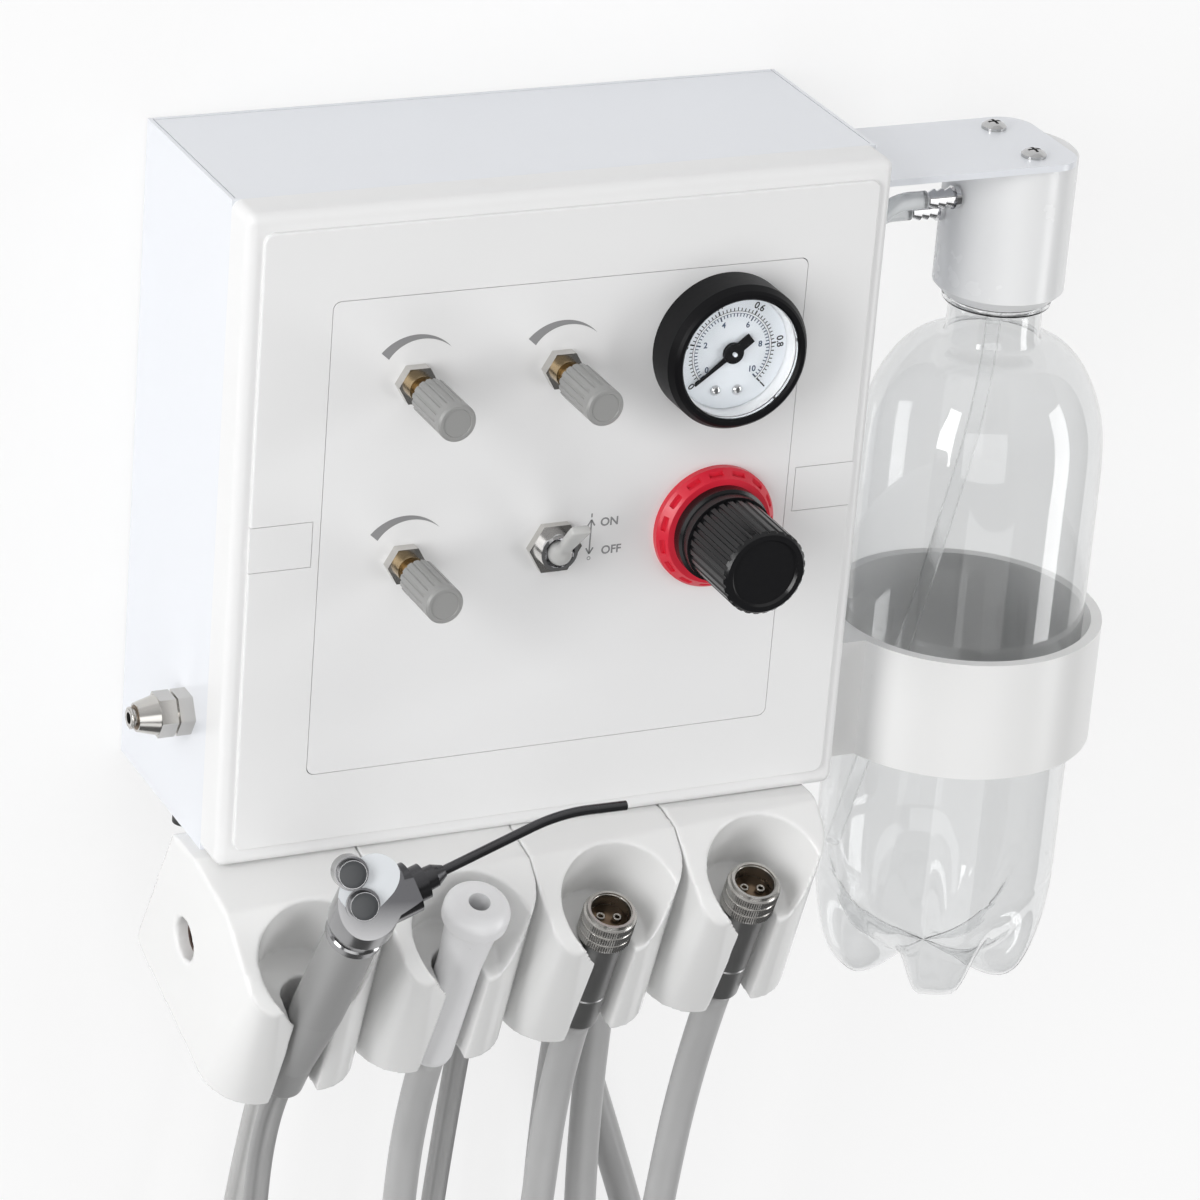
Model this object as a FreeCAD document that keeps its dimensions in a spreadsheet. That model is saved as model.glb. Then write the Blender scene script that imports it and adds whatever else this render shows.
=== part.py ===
"""Portable dental unit, hanging type: case, controls, water bottle and four instrument places.

Millimetres.  X to the right, Y towards the wall, Z up.
The origin is the centre of the back face, where the unit hangs on its wall plate.
"""
import FreeCAD, Part
import math
import os
import Sketcher
from FreeCAD import Placement, Rotation, Vector

doc = FreeCAD.newDocument("dental_unit")
sheet = doc.addObject("Spreadsheet::Sheet", "Dims")
sheet_rows = []
nodes = []


# ---------------------------------------------------------------- sizes

class Size:
    """A number together with the spreadsheet expression that it follows."""

    def __init__(self, value, text):
        self.value = float(value)
        self.text = text

    def __add__(self, other):
        return Size(self.value + num(other), "(%s + %s)" % (self.text, text(other)))

    def __radd__(self, other):
        return Size(num(other) + self.value, "(%s + %s)" % (text(other), self.text))

    def __sub__(self, other):
        return Size(self.value - num(other), "(%s - %s)" % (self.text, text(other)))

    def __rsub__(self, other):
        return Size(num(other) - self.value, "(%s - %s)" % (text(other), self.text))

    def __mul__(self, other):
        return Size(self.value * num(other), "(%s * %s)" % (self.text, text(other)))

    def __rmul__(self, other):
        return Size(num(other) * self.value, "(%s * %s)" % (text(other), self.text))

    def __truediv__(self, other):
        return Size(self.value / num(other), "(%s / %s)" % (self.text, text(other)))

    def __neg__(self):
        return Size(-self.value, "(0 - %s)" % self.text)


def num(size):
    return size.value if isinstance(size, Size) else float(size)


def text(size):
    return size.text if isinstance(size, Size) else repr(float(size))


def dim(alias, value):
    """One driving dimension: a cell of the sheet and the Size that points at it."""
    sheet_rows.append(alias)
    row = len(sheet_rows)
    sheet.set("A%d" % row, alias)
    sheet.set("B%d" % row, str(value))
    sheet.setAlias("B%d" % row, alias)
    return Size(value, "Dims." + alias)


def sine(angle):
    return Size(math.sin(math.radians(num(angle))), "sin(%s * 1deg)" % text(angle))


def cosine(angle):
    return Size(math.cos(math.radians(num(angle))), "cos(%s * 1deg)" % text(angle))


# running clearances
seam = dim("seam", 0.3)
fit = dim("fit", 0.2)
running = dim("running", 0.05)

# case
case_w = dim("case_w", 200)
case_h = dim("case_h", 201.5)
case_depth = dim("case_depth", 81.6)
sheet_t = dim("sheet_t", 1.2)
flange_w = dim("flange_w", 12)
back_t = dim("back_t", 1.5)
hang_x = dim("hang_x", 120)
hang_z = dim("hang_z", 120)
keyhole_slot = dim("keyhole_slot", 5)
keyhole_run = dim("keyhole_run", 12)

# front bezel and control panel
bezel_depth = dim("bezel_depth", 14.1)
bezel_wall = dim("bezel_wall", 2.5)
bezel_edge = dim("bezel_edge", 3)
plateau_side = dim("plateau_side", 4.7)
plateau_over = dim("plateau_over", 5.5)
plateau_w = case_w - 2 * plateau_side
plateau_h = case_h - 2 * plateau_over
plateau_step = dim("plateau_step", 1.2)
plateau_corner = dim("plateau_corner", 3)
panel_side = dim("panel_side", 21.3)
panel_over = dim("panel_over", 21.75)
panel_w = plateau_w - 2 * panel_side
panel_h = plateau_h - 2 * panel_over
panel_corner = dim("panel_corner", 2.5)
panel_rebate = dim("panel_rebate", 3)
panel_rebate_t = dim("panel_rebate_t", 1.5)
tab_gap = dim("tab_gap", 2.2)
tab_inner = panel_w / 2 + tab_gap
tab_h = dim("tab_h", 14.2)
tab_t = dim("tab_t", 2)

# flow valves
valve_left_in = dim("valve_left_in", 26.2)
valve_left_x = valve_left_in - panel_w / 2
valve_mid_x = dim("valve_mid_x", -2.7)
valve_top_down = dim("valve_top_down", 26.6)
valve_top_z = panel_h / 2 - valve_top_down
valve_low_up = dim("valve_low_up", 64.8)
valve_low_z = valve_low_up - panel_h / 2
valve_neck_r = dim("valve_neck_r", 4)
valve_nut_af = dim("valve_nut_af", 10.6)
valve_nut_t = dim("valve_nut_t", 3.4)
valve_neck_out = dim("valve_neck_out", 6)
valve_body_r = dim("valve_body_r", 7)
valve_body_l = dim("valve_body_l", 17)
stem_r = dim("stem_r", 3)
stem_needle_r = dim("stem_needle_r", 1.6)
flow_knob_r = dim("flow_knob_r", 5.7)
flow_knob_l = dim("flow_knob_l", 19.5)
flow_knob_front = dim("flow_knob_front", 31)
flow_knob_ribs = dim("flow_knob_ribs", 16)
flow_groove_r = dim("flow_groove_r", 0.45)

# toggle switch
toggle_x = dim("toggle_x", -1)
toggle_up = dim("toggle_up", 64.5)
toggle_z = toggle_up - panel_h / 2
toggle_bush_r = dim("toggle_bush_r", 5.8)
toggle_bush_out = dim("toggle_bush_out", 5.5)
toggle_nut_af = dim("toggle_nut_af", 14.4)
toggle_nut_t = dim("toggle_nut_t", 2.6)
toggle_ball_r = dim("toggle_ball_r", 4.4)
toggle_lever_l = dim("toggle_lever_l", 20)
toggle_lever_w = dim("toggle_lever_w", 5.4)
toggle_neck_w = dim("toggle_neck_w", 3.6)
toggle_lever_t = dim("toggle_lever_t", 3)
toggle_tilt = dim("toggle_tilt", 45)
toggle_pin_r = dim("toggle_pin_r", 0.9)

# pressure gauge
gauge_in = dim("gauge_in", 25.7)
gauge_x = panel_w / 2 - gauge_in
gauge_down = dim("gauge_down", 24.5)
gauge_z = panel_h / 2 - gauge_down
gauge_case_r = dim("gauge_case_r", 22.2)
gauge_rim_r = dim("gauge_rim_r", 21)
gauge_bore_r = dim("gauge_bore_r", 18.4)
gauge_front = dim("gauge_front", 13.2)
gauge_dial_set = dim("gauge_dial_set", 7.3)
gauge_dial_t = dim("gauge_dial_t", 0.8)
gauge_lens_t = dim("gauge_lens_t", 1.5)
gauge_neck_r = dim("gauge_neck_r", 19.5)
gauge_back = dim("gauge_back", 17)
needle_l = dim("needle_l", 14.6)
needle_hub_r = dim("needle_hub_r", 3.1)
scale_start = 218.3

# regulator
reg_in = dim("reg_in", 23.7)
reg_x = panel_w / 2 - reg_in
reg_thread_r = dim("reg_thread_r", 14)
ring_nut_r = dim("ring_nut_r", 19)
reg_gap = dim("reg_gap", 16.1)
reg_z = gauge_z - gauge_case_r - ring_nut_r - reg_gap
ring_nut_t = dim("ring_nut_t", 5)
ring_nut_notches = dim("ring_nut_notches", 15)
bonnet_r = dim("bonnet_r", 14.6)
bonnet_l = dim("bonnet_l", 7)
bonnet_nose_r = dim("bonnet_nose_r", 10)
bonnet_nose_l = dim("bonnet_nose_l", 12)
reg_knob_r = dim("reg_knob_r", 13.1)
reg_knob_front = dim("reg_knob_front", 36)
reg_knob_ribs = dim("reg_knob_ribs", 28)
reg_knob_lift = dim("reg_knob_lift", 2.5)
rib_gap_r = dim("rib_gap_r", 0.8)
reg_stem_r = dim("reg_stem_r", 3)
reg_body_w = dim("reg_body_w", 34)
reg_body_l = dim("reg_body_l", 38)

# air inlet on the left wall
inlet_y = dim("inlet_y", -52.7)
inlet_z = dim("inlet_z", -62.7)
inlet_af = dim("inlet_af", 12)
inlet_thread_r = dim("inlet_thread_r", 4.8)
inlet_nut_t = dim("inlet_nut_t", 4.5)
inlet_cap_l = dim("inlet_cap_l", 11)
inlet_tube_r = dim("inlet_tube_r", 2.65)
inlet_bore_r = dim("inlet_bore_r", 1.75)
inlet_inside = dim("inlet_inside", 12)

# water bottle and what carries it
bottle_off = dim("bottle_off", 58)
bottle_x = case_w / 2 + bottle_off
bottle_y = dim("bottle_y", -47.1)
plate_top = dim("plate_top", 89.6)
plate_t = dim("plate_t", 2)
plate_w = dim("plate_w", 43)
plate_over = dim("plate_over", 13.5)
plate_corner = dim("plate_corner", 9)
plate_flange_h = dim("plate_flange_h", 16)
plate_screw_gap = dim("plate_screw_gap", 25)
screw_head_r = dim("screw_head_r", 3.8)
screw_head_t = dim("screw_head_t", 2.2)
screw_r = dim("screw_r", 2)
cap_r = dim("cap_r", 20)
cap_chamfer = dim("cap_chamfer", 3.4)
cap_low = dim("cap_low", 41.5)
neck_r = dim("neck_r", 13.4)
neck_bore_r = dim("neck_bore_r", 11.4)
neck_top = dim("neck_top", 60)
neck_ring_r = dim("neck_ring_r", 16.8)
neck_ring_t = dim("neck_ring_t", 2)
bottle_r = dim("bottle_r", 38)
bottle_wall = dim("bottle_wall", 0.9)
bottle_base = dim("bottle_base", -187)
base_h = dim("base_h", 37)
foot_r = dim("foot_r", 27)
bottle_feet = dim("bottle_feet", 5)
gasket_t = dim("gasket_t", 2)
dip_r = dim("dip_r", 2.4)
dip_straight = dim("dip_straight", 52)
dip_reach = dim("dip_reach", 29)
dip_back = dim("dip_back", 14)
dip_clear = dim("dip_clear", 39)
holder_ring_r = dim("holder_ring_r", 43.8)
holder_ring_wall = dim("holder_ring_wall", 3.4)
holder_ring_h = dim("holder_ring_h", 38.5)
holder_ring_low = dim("holder_ring_low", -101.6)
holder_pad_w = dim("holder_pad_w", 30)
barb_z = dim("barb_z", 68.5)
barb_gap = dim("barb_gap", 9)
bottle_tube_r = dim("bottle_tube_r", 2.75)

# instrument holders
row_over = dim("row_over", 1.6)
row_short = dim("row_short", 7.2)
holder_pitch = (case_w + row_over - row_short) / 4
holder_first_x = (holder_pitch - case_w) / 2 - row_over
holder_gap = dim("holder_gap", 0.2)
socket_tilt = dim("socket_tilt", 22.3)
socket_y = dim("socket_y", -90.3)
socket_z = dim("socket_z", -145.8)
socket_r = dim("socket_r", 7.2)
slot_front_half = dim("slot_front_half", 8.35)
seat_up = dim("seat_up", 12.6)
block_low = dim("block_low", 25.2)
block_front = dim("block_front", 15)
block_back = dim("block_back", 59.8)
block_rise = dim("block_rise", 39)
funnel_lean = dim("funnel_lean", 22.4)
funnel_half = dim("funnel_half", 14.3)
funnel_apex_back = dim("funnel_apex_back", 24.8)
funnel_apex_low = dim("funnel_apex_low", 37.3)
bar_y = dim("bar_y", -61.6)
bar_z = dim("bar_z", -128)
bar_r = dim("bar_r", 6.2)
bar_wall = dim("bar_wall", 1.2)
bar_set_back = dim("bar_set_back", 4)
ear_t = dim("ear_t", 2)
ear_gap = dim("ear_gap", 2.6)
ear_half = dim("ear_half", 11)
row_yaw = dim("row_yaw", 2.5)
row_roll = dim("row_roll", 1.6)

# handpiece couplings
coupling_len = dim("coupling_len", 49.5)
nut_r = dim("nut_r", 8)
nut_l = dim("nut_l", 11.5)
sleeve_r = dim("sleeve_r", 6.6)
sleeve_end_r = dim("sleeve_end_r", 6.2)

# suction handpiece
suction_tilt = dim("suction_tilt", 23.5)
suction_y = dim("suction_y", -80.2)
suction_z = dim("suction_z", -171.5)
suction_len = dim("suction_len", 71)
suction_r = dim("suction_r", 6.7)
suction_collar_r = dim("suction_collar_r", 10)
suction_collar_l = dim("suction_collar_l", 8.5)
suction_neck_r = dim("suction_neck_r", 8)
suction_neck_l = dim("suction_neck_l", 19)
suction_hole_r = dim("suction_hole_r", 3.3)

# three-way syringe
syringe_tilt = dim("syringe_tilt", 32)
syringe_y = dim("syringe_y", -80.6)
syringe_z = dim("syringe_z", -171.2)
syringe_tail_r = dim("syringe_tail_r", 6.3)
syringe_grip_r = dim("syringe_grip_r", 7.9)
syringe_grip_l = dim("syringe_grip_l", 87)
head_ring_r = dim("head_ring_r", 8.6)
head_r = dim("head_r", 9.6)
head_l = dim("head_l", 20)
plate_lean = dim("plate_lean", 38)
plate_turn = dim("plate_turn", 14)
button_r = dim("button_r", 4)
button_out = dim("button_out", 3.2)
button_spread = dim("button_spread", 4.6)
button_slant = dim("button_slant", 1.5)
button_side = dim("button_side", -4.2)
button_rim_r = dim("button_rim_r", 4.9)
button_travel = dim("button_travel", 1.8)
boss_r = dim("boss_r", 7.6)
boss_l = dim("boss_l", 14.5)
nozzle_rise = dim("nozzle_rise", 17.3)
nozzle_r = dim("nozzle_r", 1.45)
nozzle_l = dim("nozzle_l", 49)
nozzle_tip_l = dim("nozzle_tip_l", 21)

# hoses
hose_r = dim("hose_r", 5.1)
twin_hose_r = dim("twin_hose_r", 3.8)
gland_r = dim("gland_r", 8)
gland_l = dim("gland_l", 11)
gland_back = dim("gland_back", 15)

# places that follow from the sizes above
front_y = -case_depth
seam_y = -(case_depth - bezel_depth)
case_low = -(case_h / 2)
holder_w = holder_pitch - holder_gap
HOLDERS = (1, 2, 3, 4)

UP = Rotation()
FRONT = Rotation(Vector(1, 0, 0), 90)
RIGHT = Rotation(Vector(0, 1, 0), Vector(0, 0, 1), Vector(1, 0, 0), "ZXY")
LEFT = Rotation(Vector(0, -1, 0), Vector(0, 0, 1), Vector(-1, 0, 0), "ZXY")
DOWN = Rotation(Vector(1, 0, 0), 180)


def leaning(angle):
    """Local z leans from straight up towards the front by this many degrees."""
    return Rotation(Vector(1, 0, 0), num(angle))


# ---------------------------------------------------------------- helpers

def bind(obj, prop, size):
    """Set a property and, where it follows a size, its expression too."""
    if isinstance(size, Size):
        obj.setExpression(prop, size.text)
    else:
        setattr(obj, prop, size)


def put(obj, x=0, y=0, z=0, turn=UP):
    obj.Placement = Placement(Vector(num(x), num(y), num(z)), turn)
    for letter, size in (("x", x), ("y", y), ("z", z)):
        if isinstance(size, Size):
            obj.setExpression("Placement.Base." + letter, size.text)
    return obj


def node(obj, label):
    """Mark an object as one of the parts that are written out."""
    obj.Label = label
    nodes.append(obj)
    return obj


def new_body(name, x=0, y=0, z=0, turn=UP):
    return put(doc.addObject("PartDesign::Body", name), x, y, z, turn)


def origin_feature(body, role):
    return [item for item in body.Origin.OriginFeatures if item.Role == role][0]


def new_sketch(body, plane, name, up=0):
    sketch = body.newObject("Sketcher::SketchObject", name)
    sketch.AttachmentSupport = [(origin_feature(body, plane), "")]
    sketch.MapMode = "FlatFace"
    sketch.AttachmentOffset = Placement(Vector(0, 0, num(up)), UP)
    if isinstance(up, Size):
        sketch.setExpression("AttachmentOffset.Base.z", up.text)
    return sketch


def pin_point(sketch, curve, end, x, y):
    """Hold one point of a curve at x, y, each following its size."""
    for kind, size in (("DistanceX", x), ("DistanceY", y)):
        index = sketch.addConstraint(Sketcher.Constraint(kind, -1, 1, curve, end, num(size)))
        if isinstance(size, Size):
            sketch.setExpression("Constraints[%d]" % index, size.text)


def arc_between(start, end, radius):
    """Arc from start to end: a positive radius turns left, a negative one right."""
    chord = end - start
    half = chord.Length / 2
    reach = math.sqrt(max(radius * radius - half * half, 0))
    left = Vector(-chord.y, chord.x, 0).normalize()
    middle = (start + end) * 0.5
    centre = middle + left * (reach if radius > 0 else -reach)
    first, last = (start, end) if radius > 0 else (end, start)
    angles = [math.atan2(p.y - centre.y, p.x - centre.x) for p in (first, last)]
    circle = Part.Circle(centre, Vector(0, 0, 1), abs(radius))
    return Part.ArcOfCircle(circle, angles[0], angles[1])


def outline(sketch, points):
    """Closed outline.  A point is (x, y), or (x, y, radius) where an arc leads to the next."""
    places = [Vector(num(p[0]), num(p[1]), 0) for p in points]
    ends = []
    for i, point in enumerate(points):
        start, stop = places[i], places[(i + 1) % len(points)]
        if len(point) == 2:
            curve = sketch.addGeometry(Part.LineSegment(start, stop))
            ends.append((curve, 1, 2))
            continue
        radius = num(point[2])
        curve = sketch.addGeometry(arc_between(start, stop, radius))
        ends.append((curve, 1, 2) if radius > 0 else (curve, 2, 1))
        size = abs_size(point[2])
        index = sketch.addConstraint(Sketcher.Constraint("Radius", curve, num(size)))
        if isinstance(size, Size):
            sketch.setExpression("Constraints[%d]" % index, size.text)
    for i, point in enumerate(points):
        curve, start, stop = ends[i]
        following = ends[(i + 1) % len(points)]
        sketch.addConstraint(Sketcher.Constraint("Coincident", curve, stop, following[0], following[1]))
        pin_point(sketch, curve, start, point[0], point[1])


def abs_size(size):
    return -size if num(size) < 0 else size


def circles(sketch, items):
    for x, y, radius in items:
        curve = sketch.addGeometry(Part.Circle(Vector(num(x), num(y), 0), Vector(0, 0, 1), num(radius)))
        pin_point(sketch, curve, 3, x, y)
        index = sketch.addConstraint(Sketcher.Constraint("Radius", curve, num(radius)))
        if isinstance(radius, Size):
            sketch.setExpression("Constraints[%d]" % index, radius.text)


def rectangle(width, height, x=0, y=0):
    """Corners of a rectangle centred on x, y."""
    left, right = x - width / 2, x + width / 2
    low, top = y - height / 2, y + height / 2
    return [(left, low), (right, low), (right, top), (left, top)]


def rounded(width, height, radius):
    """Rectangle with round corners, centred on the sketch's origin."""
    right, top = width / 2, height / 2
    left, low = -right, -top
    return [(left, low + radius, radius), (left + radius, low), (right - radius, low, radius),
            (right, low + radius), (right, top - radius, radius), (right - radius, top),
            (left + radius, top, radius), (left, top - radius)]


def upright_slot(x, y, half, length):
    """Slot with round ends, centred on x, y and running along y."""
    low, top = y - length / 2 + half, y + length / 2 - half
    return [(x - half, low, half), (x, low - half, half), (x + half, low),
            (x + half, top, half), (x, top + half, half), (x - half, top)]


def pad(body, name, shape, length, up=0, holes=()):
    sketch = new_sketch(body, "XY_Plane", name + "_outline", up)
    if shape:
        outline(sketch, shape)
    circles(sketch, holes)
    feature = body.newObject("PartDesign::Pad", name)
    feature.Profile = sketch
    bind(feature, "Length", length)
    body.Tip = feature
    return feature


def pocket(body, name, shape, length, up=0, holes=()):
    """Cut upwards from the height `up`."""
    sketch = new_sketch(body, "XY_Plane", name + "_outline", up)
    if shape:
        outline(sketch, shape)
    circles(sketch, holes)
    feature = body.newObject("PartDesign::Pocket", name)
    feature.Profile = sketch
    feature.Reversed = True
    bind(feature, "Length", length)
    body.Tip = feature
    return feature


def revolve(body, name, shape, kind="PartDesign::Revolution"):
    sketch = new_sketch(body, "XZ_Plane", name + "_outline")
    outline(sketch, shape)
    feature = body.newObject(kind, name)
    feature.Profile = sketch
    feature.ReferenceAxis = (sketch, ["V_Axis"])
    feature.Angle = 360
    body.Tip = feature
    return feature


def polar(body, name, feature, count):
    pattern = body.newObject("PartDesign::PolarPattern", name)
    pattern.Originals = [feature]
    pattern.Axis = (origin_feature(body, "Z_Axis"), [""])
    pattern.Angle = 360
    bind(pattern, "Occurrences", count)
    body.Tip = pattern
    return pattern


def dress(body, name, kind, size, test):
    """Fillet or chamfer the edges of the body's last feature that pass the test."""
    doc.recompute()
    last = body.Tip
    edges = ["Edge%d" % (i + 1) for i, edge in enumerate(last.Shape.Edges) if test(edge)]
    feature = body.newObject("PartDesign::" + kind, name)
    feature.Base = (last, edges)
    bind(feature, "Radius" if kind == "Fillet" else "Size", size)
    body.Tip = feature
    return feature


def at_height(height):
    """Test for an edge that lies at one height of the body's own frame."""
    def test(edge):
        return all(abs(v.Point.z - num(height)) < 1e-3 for v in edge.Vertexes)
    return test


def cylinder(name, radius, length, x=0, y=0, z=0, turn=UP):
    obj = doc.addObject("Part::Cylinder", name)
    bind(obj, "Radius", radius)
    bind(obj, "Height", length)
    return put(obj, x, y, z, turn)


def box(name, size, x=0, y=0, z=0, turn=UP):
    """Box of size (along x, y, z) with its lowest corner at x, y, z."""
    obj = doc.addObject("Part::Box", name)
    for prop, length in zip(("Length", "Width", "Height"), size):
        bind(obj, prop, length)
    return put(obj, x, y, z, turn)


def hexagon(name, across, length, x=0, y=0, z=0, turn=UP):
    obj = doc.addObject("Part::Prism", name)
    obj.Polygon = 6
    bind(obj, "Circumradius", across / (2 * math.cos(math.radians(30))))
    bind(obj, "Height", length)
    return put(obj, x, y, z, turn)


def fuse(name, items):
    obj = doc.addObject("Part::MultiFuse", name)
    obj.Shapes = items
    obj.Refine = True
    return obj


def group(name, items):
    """Separate solids that share one node."""
    obj = doc.addObject("Part::Compound", name)
    obj.Links = items
    return obj


def cut(name, base, tools):
    tool = tools[0] if len(tools) == 1 else fuse(name + "_tools", tools)
    obj = doc.addObject("Part::Cut", name)
    obj.Base = base
    obj.Tool = tool
    return obj


def common(name, base, tool):
    obj = doc.addObject("Part::Common", name)
    obj.Base = base
    obj.Tool = tool
    return obj


def rounded_path(points):
    """Straight runs joined by tangent arcs, and the radius of each arc."""
    edges = []
    radii = []
    start = points[0]
    for before, corner, after in zip(points, points[1:], points[2:]):
        back, ahead = before - corner, after - corner
        shorter = min(back.Length, ahead.Length)
        turn = math.pi - back.getAngle(ahead)
        radius = 0.45 * shorter / math.tan(turn / 2)
        reach = 0.45 * shorter
        back.normalize()
        ahead.normalize()
        enter, leave = corner + back * reach, corner + ahead * reach
        inward = (back + ahead).normalize()
        middle = corner + inward * (radius / math.cos(turn / 2) - radius)
        edges.append(Part.LineSegment(start, enter).toShape())
        edges.append(Part.Arc(enter, middle, leave).toShape())
        radii.append(radius)
        start = leave
    edges.append(Part.LineSegment(start, points[-1]).toShape())
    return Part.Wire(edges), radii


def tube(name, points, radius):
    """Round tube along a route of points."""
    path, radii = rounded_path([Vector(*[num(c) for c in p]) for p in points])
    start, ahead = path.Edges[0].valueAt(0), path.Edges[0].tangentAt(0)
    section = Part.Wire(Part.Circle(start, ahead, num(radius)).toShape())
    shape = path.makePipeShell([section], True, False)
    expected = math.pi * num(radius) ** 2 * path.Length
    print("%s: length %.0f, smallest radius %.1f, volume ratio %.4f"
          % (name, path.Length, min(radii or [0]), shape.Volume / expected))
    obj = doc.addObject("Part::Feature", name)
    obj.Shape = shape
    return obj


# ---------------------------------------------------------------- case

GLANDS = {"foot": -40, "syringe": 17, "coupling_4": 33, "suction": 48, "coupling_3": 63}
gland_x = {name: dim("gland_x_" + name, x) for name, x in GLANDS.items()}


def make_case_shell():
    """Folded steel: two side walls, a floor and a front flange in one piece."""
    depth = case_depth - bezel_depth
    body = new_body("shell", turn=FRONT)
    pad(body, "blank", rectangle(case_w, case_h), depth)
    inside_w = case_w - 2 * sheet_t
    hollow = rectangle(inside_w, case_h, 0, sheet_t)
    pocket(body, "hollow", hollow, depth - sheet_t)
    opening = rounded(case_w - 2 * flange_w, case_h - 2 * flange_w, panel_corner)
    pocket(body, "front_opening", opening, sheet_t, depth - sheet_t)
    tools = [cylinder("gland_hole_" + name, gland_r - 2, sheet_t * 3,
                      x, -gland_back, case_low - sheet_t) for name, x in gland_x.items()]
    tools.append(cylinder("inlet_hole", inlet_thread_r + fit, sheet_t * 3,
                          sheet_t - case_w / 2, inlet_y, inlet_z, LEFT))
    for side in (-1, 1):
        tools.append(cylinder("plate_side_hole", screw_r + fit, sheet_t * 3, case_w / 2 - 2 * sheet_t,
                              bottle_y + side * plate_screw_gap / 2, flange_screw_z(), RIGHT))
        tools.append(cylinder("pad_side_hole", screw_r + fit, sheet_t * 3, case_w / 2 - 2 * sheet_t,
                              bottle_y, pad_screw_z(side), RIGHT))
    for i in (0, 1):
        tools.append(cylinder("tube_side_hole", bottle_tube_r + fit, sheet_t * 3, case_w / 2 - 2 * sheet_t,
                              tube_y(i), tube_wall_z(i), RIGHT))
    for number in HOLDERS:
        tools.append(cylinder("holder_screw_hole", screw_r + fit, sheet_t * 3,
                              holder_x(number), holder_screw_y(), case_low - sheet_t))
    node(cut("shell_drilled", body, tools), "case_shell")


def flange_screw_z():
    return plate_top - plate_flange_h / 2


def pad_screw_z(side):
    return holder_ring_low + holder_ring_h / 2 + side * holder_ring_h / 4


def tube_y(i):
    return bottle_y + (1 - 2 * i) * barb_gap / 2


def tube_wall_z(i):
    return barb_level(i) - 6


def holder_x(number):
    return holder_first_x + (number - 1) * holder_pitch


def holder_screw_y():
    return bar_y + 14


def make_top_panel():
    """Lid plate that lies between the side walls, with its edges folded down."""
    width = case_w - 2 * sheet_t - 2 * seam
    back_edge = back_t + seam
    depth = case_depth - bezel_depth - sheet_t - back_edge
    fold = dim("top_fold", 9)
    body = new_body("top_panel", y=-(back_edge + depth / 2), z=case_h / 2 - sheet_t)
    pad(body, "lid", rectangle(width, depth), sheet_t)
    pad(body, "folds", rectangle(width, depth), fold, -fold)
    pocket(body, "between_folds", rectangle(width - 2 * sheet_t, depth - 2 * sheet_t), fold, -fold)
    node(body, "top_panel")


def make_back_panel():
    """Back plate with four keyholes that hang on screws in the wall."""
    width = case_w - 2 * sheet_t - 2 * seam
    floor_gap = sheet_t + seam
    body = new_body("back_panel", turn=FRONT)
    pad(body, "plate", rectangle(width, case_h - floor_gap, 0, floor_gap / 2), back_t)
    half = keyhole_slot / 2
    for side in (-1, 1):
        for level in (-1, 1):
            x, z = side * hang_x / 2, level * hang_z / 2
            name = "keyhole_%d_%d" % (side + 1, level + 1)
            pocket(body, name, upright_slot(x, z, half, keyhole_run), back_t)
            pocket(body, name + "_entry", [], back_t,
                   holes=[(x, z - keyhole_run / 2 - keyhole_slot / 2, keyhole_slot)])
    node(body, "back_panel")


# ---------------------------------------------------------------- front

def make_front_bezel():
    """Moulded front cover: a rounded frame with a raised field and a window for the panel."""
    rise = bezel_depth - plateau_step
    body = new_body("front_bezel", y=seam_y, turn=FRONT)
    pad(body, "frame", rectangle(case_w, case_h), rise)
    dress(body, "outer_edge", "Fillet", bezel_edge, lambda e: at_height(rise)(e) or is_upright(e))
    pad(body, "field", rounded(plateau_w, plateau_h, plateau_corner), plateau_step, rise)
    dress(body, "field_edge", "Fillet", plateau_step / 2, at_height(bezel_depth))
    inner_w, inner_h = case_w - 2 * bezel_wall, case_h - 2 * bezel_wall
    pocket(body, "hollow", rectangle(inner_w, inner_h), rise - bezel_wall)
    pocket(body, "window", rounded(panel_w, panel_h, panel_corner), bezel_depth)
    for side in (-1, 1):
        pocket(body, "tab_seat_%d" % (side + 1), tab_outline(side, 0), plateau_step + tab_t,
               bezel_depth - tab_t)
    node(body, "front_bezel")


def is_upright(edge):
    ends = [v.Point for v in edge.Vertexes]
    return len(ends) == 2 and abs(ends[0].x - ends[1].x) < 1e-3 and abs(ends[0].y - ends[1].y) < 1e-3


def tab_outline(side, gap):
    """Outline of a side insert, from near the panel to the edge of the raised field."""
    inner, outer = tab_inner + gap, plateau_w / 2
    half = tab_h / 2 - gap
    if side > 0:
        return [(inner, -half), (outer, -half), (outer, half), (inner, half)]
    return [(-outer, -half), (-inner, -half), (-inner, half), (-outer, half)]


def make_panel_tabs():
    """The two small inserts beside the panel."""
    tabs = []
    for side in (-1, 1):
        body = new_body("tab_%d" % (side + 1), y=front_y + tab_t, turn=FRONT)
        pad(body, "insert_%d" % (side + 1), tab_outline(side, fit), tab_t)
        tabs.append(body)
    node(group("tab_pair", tabs), "panel_tabs")


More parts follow.
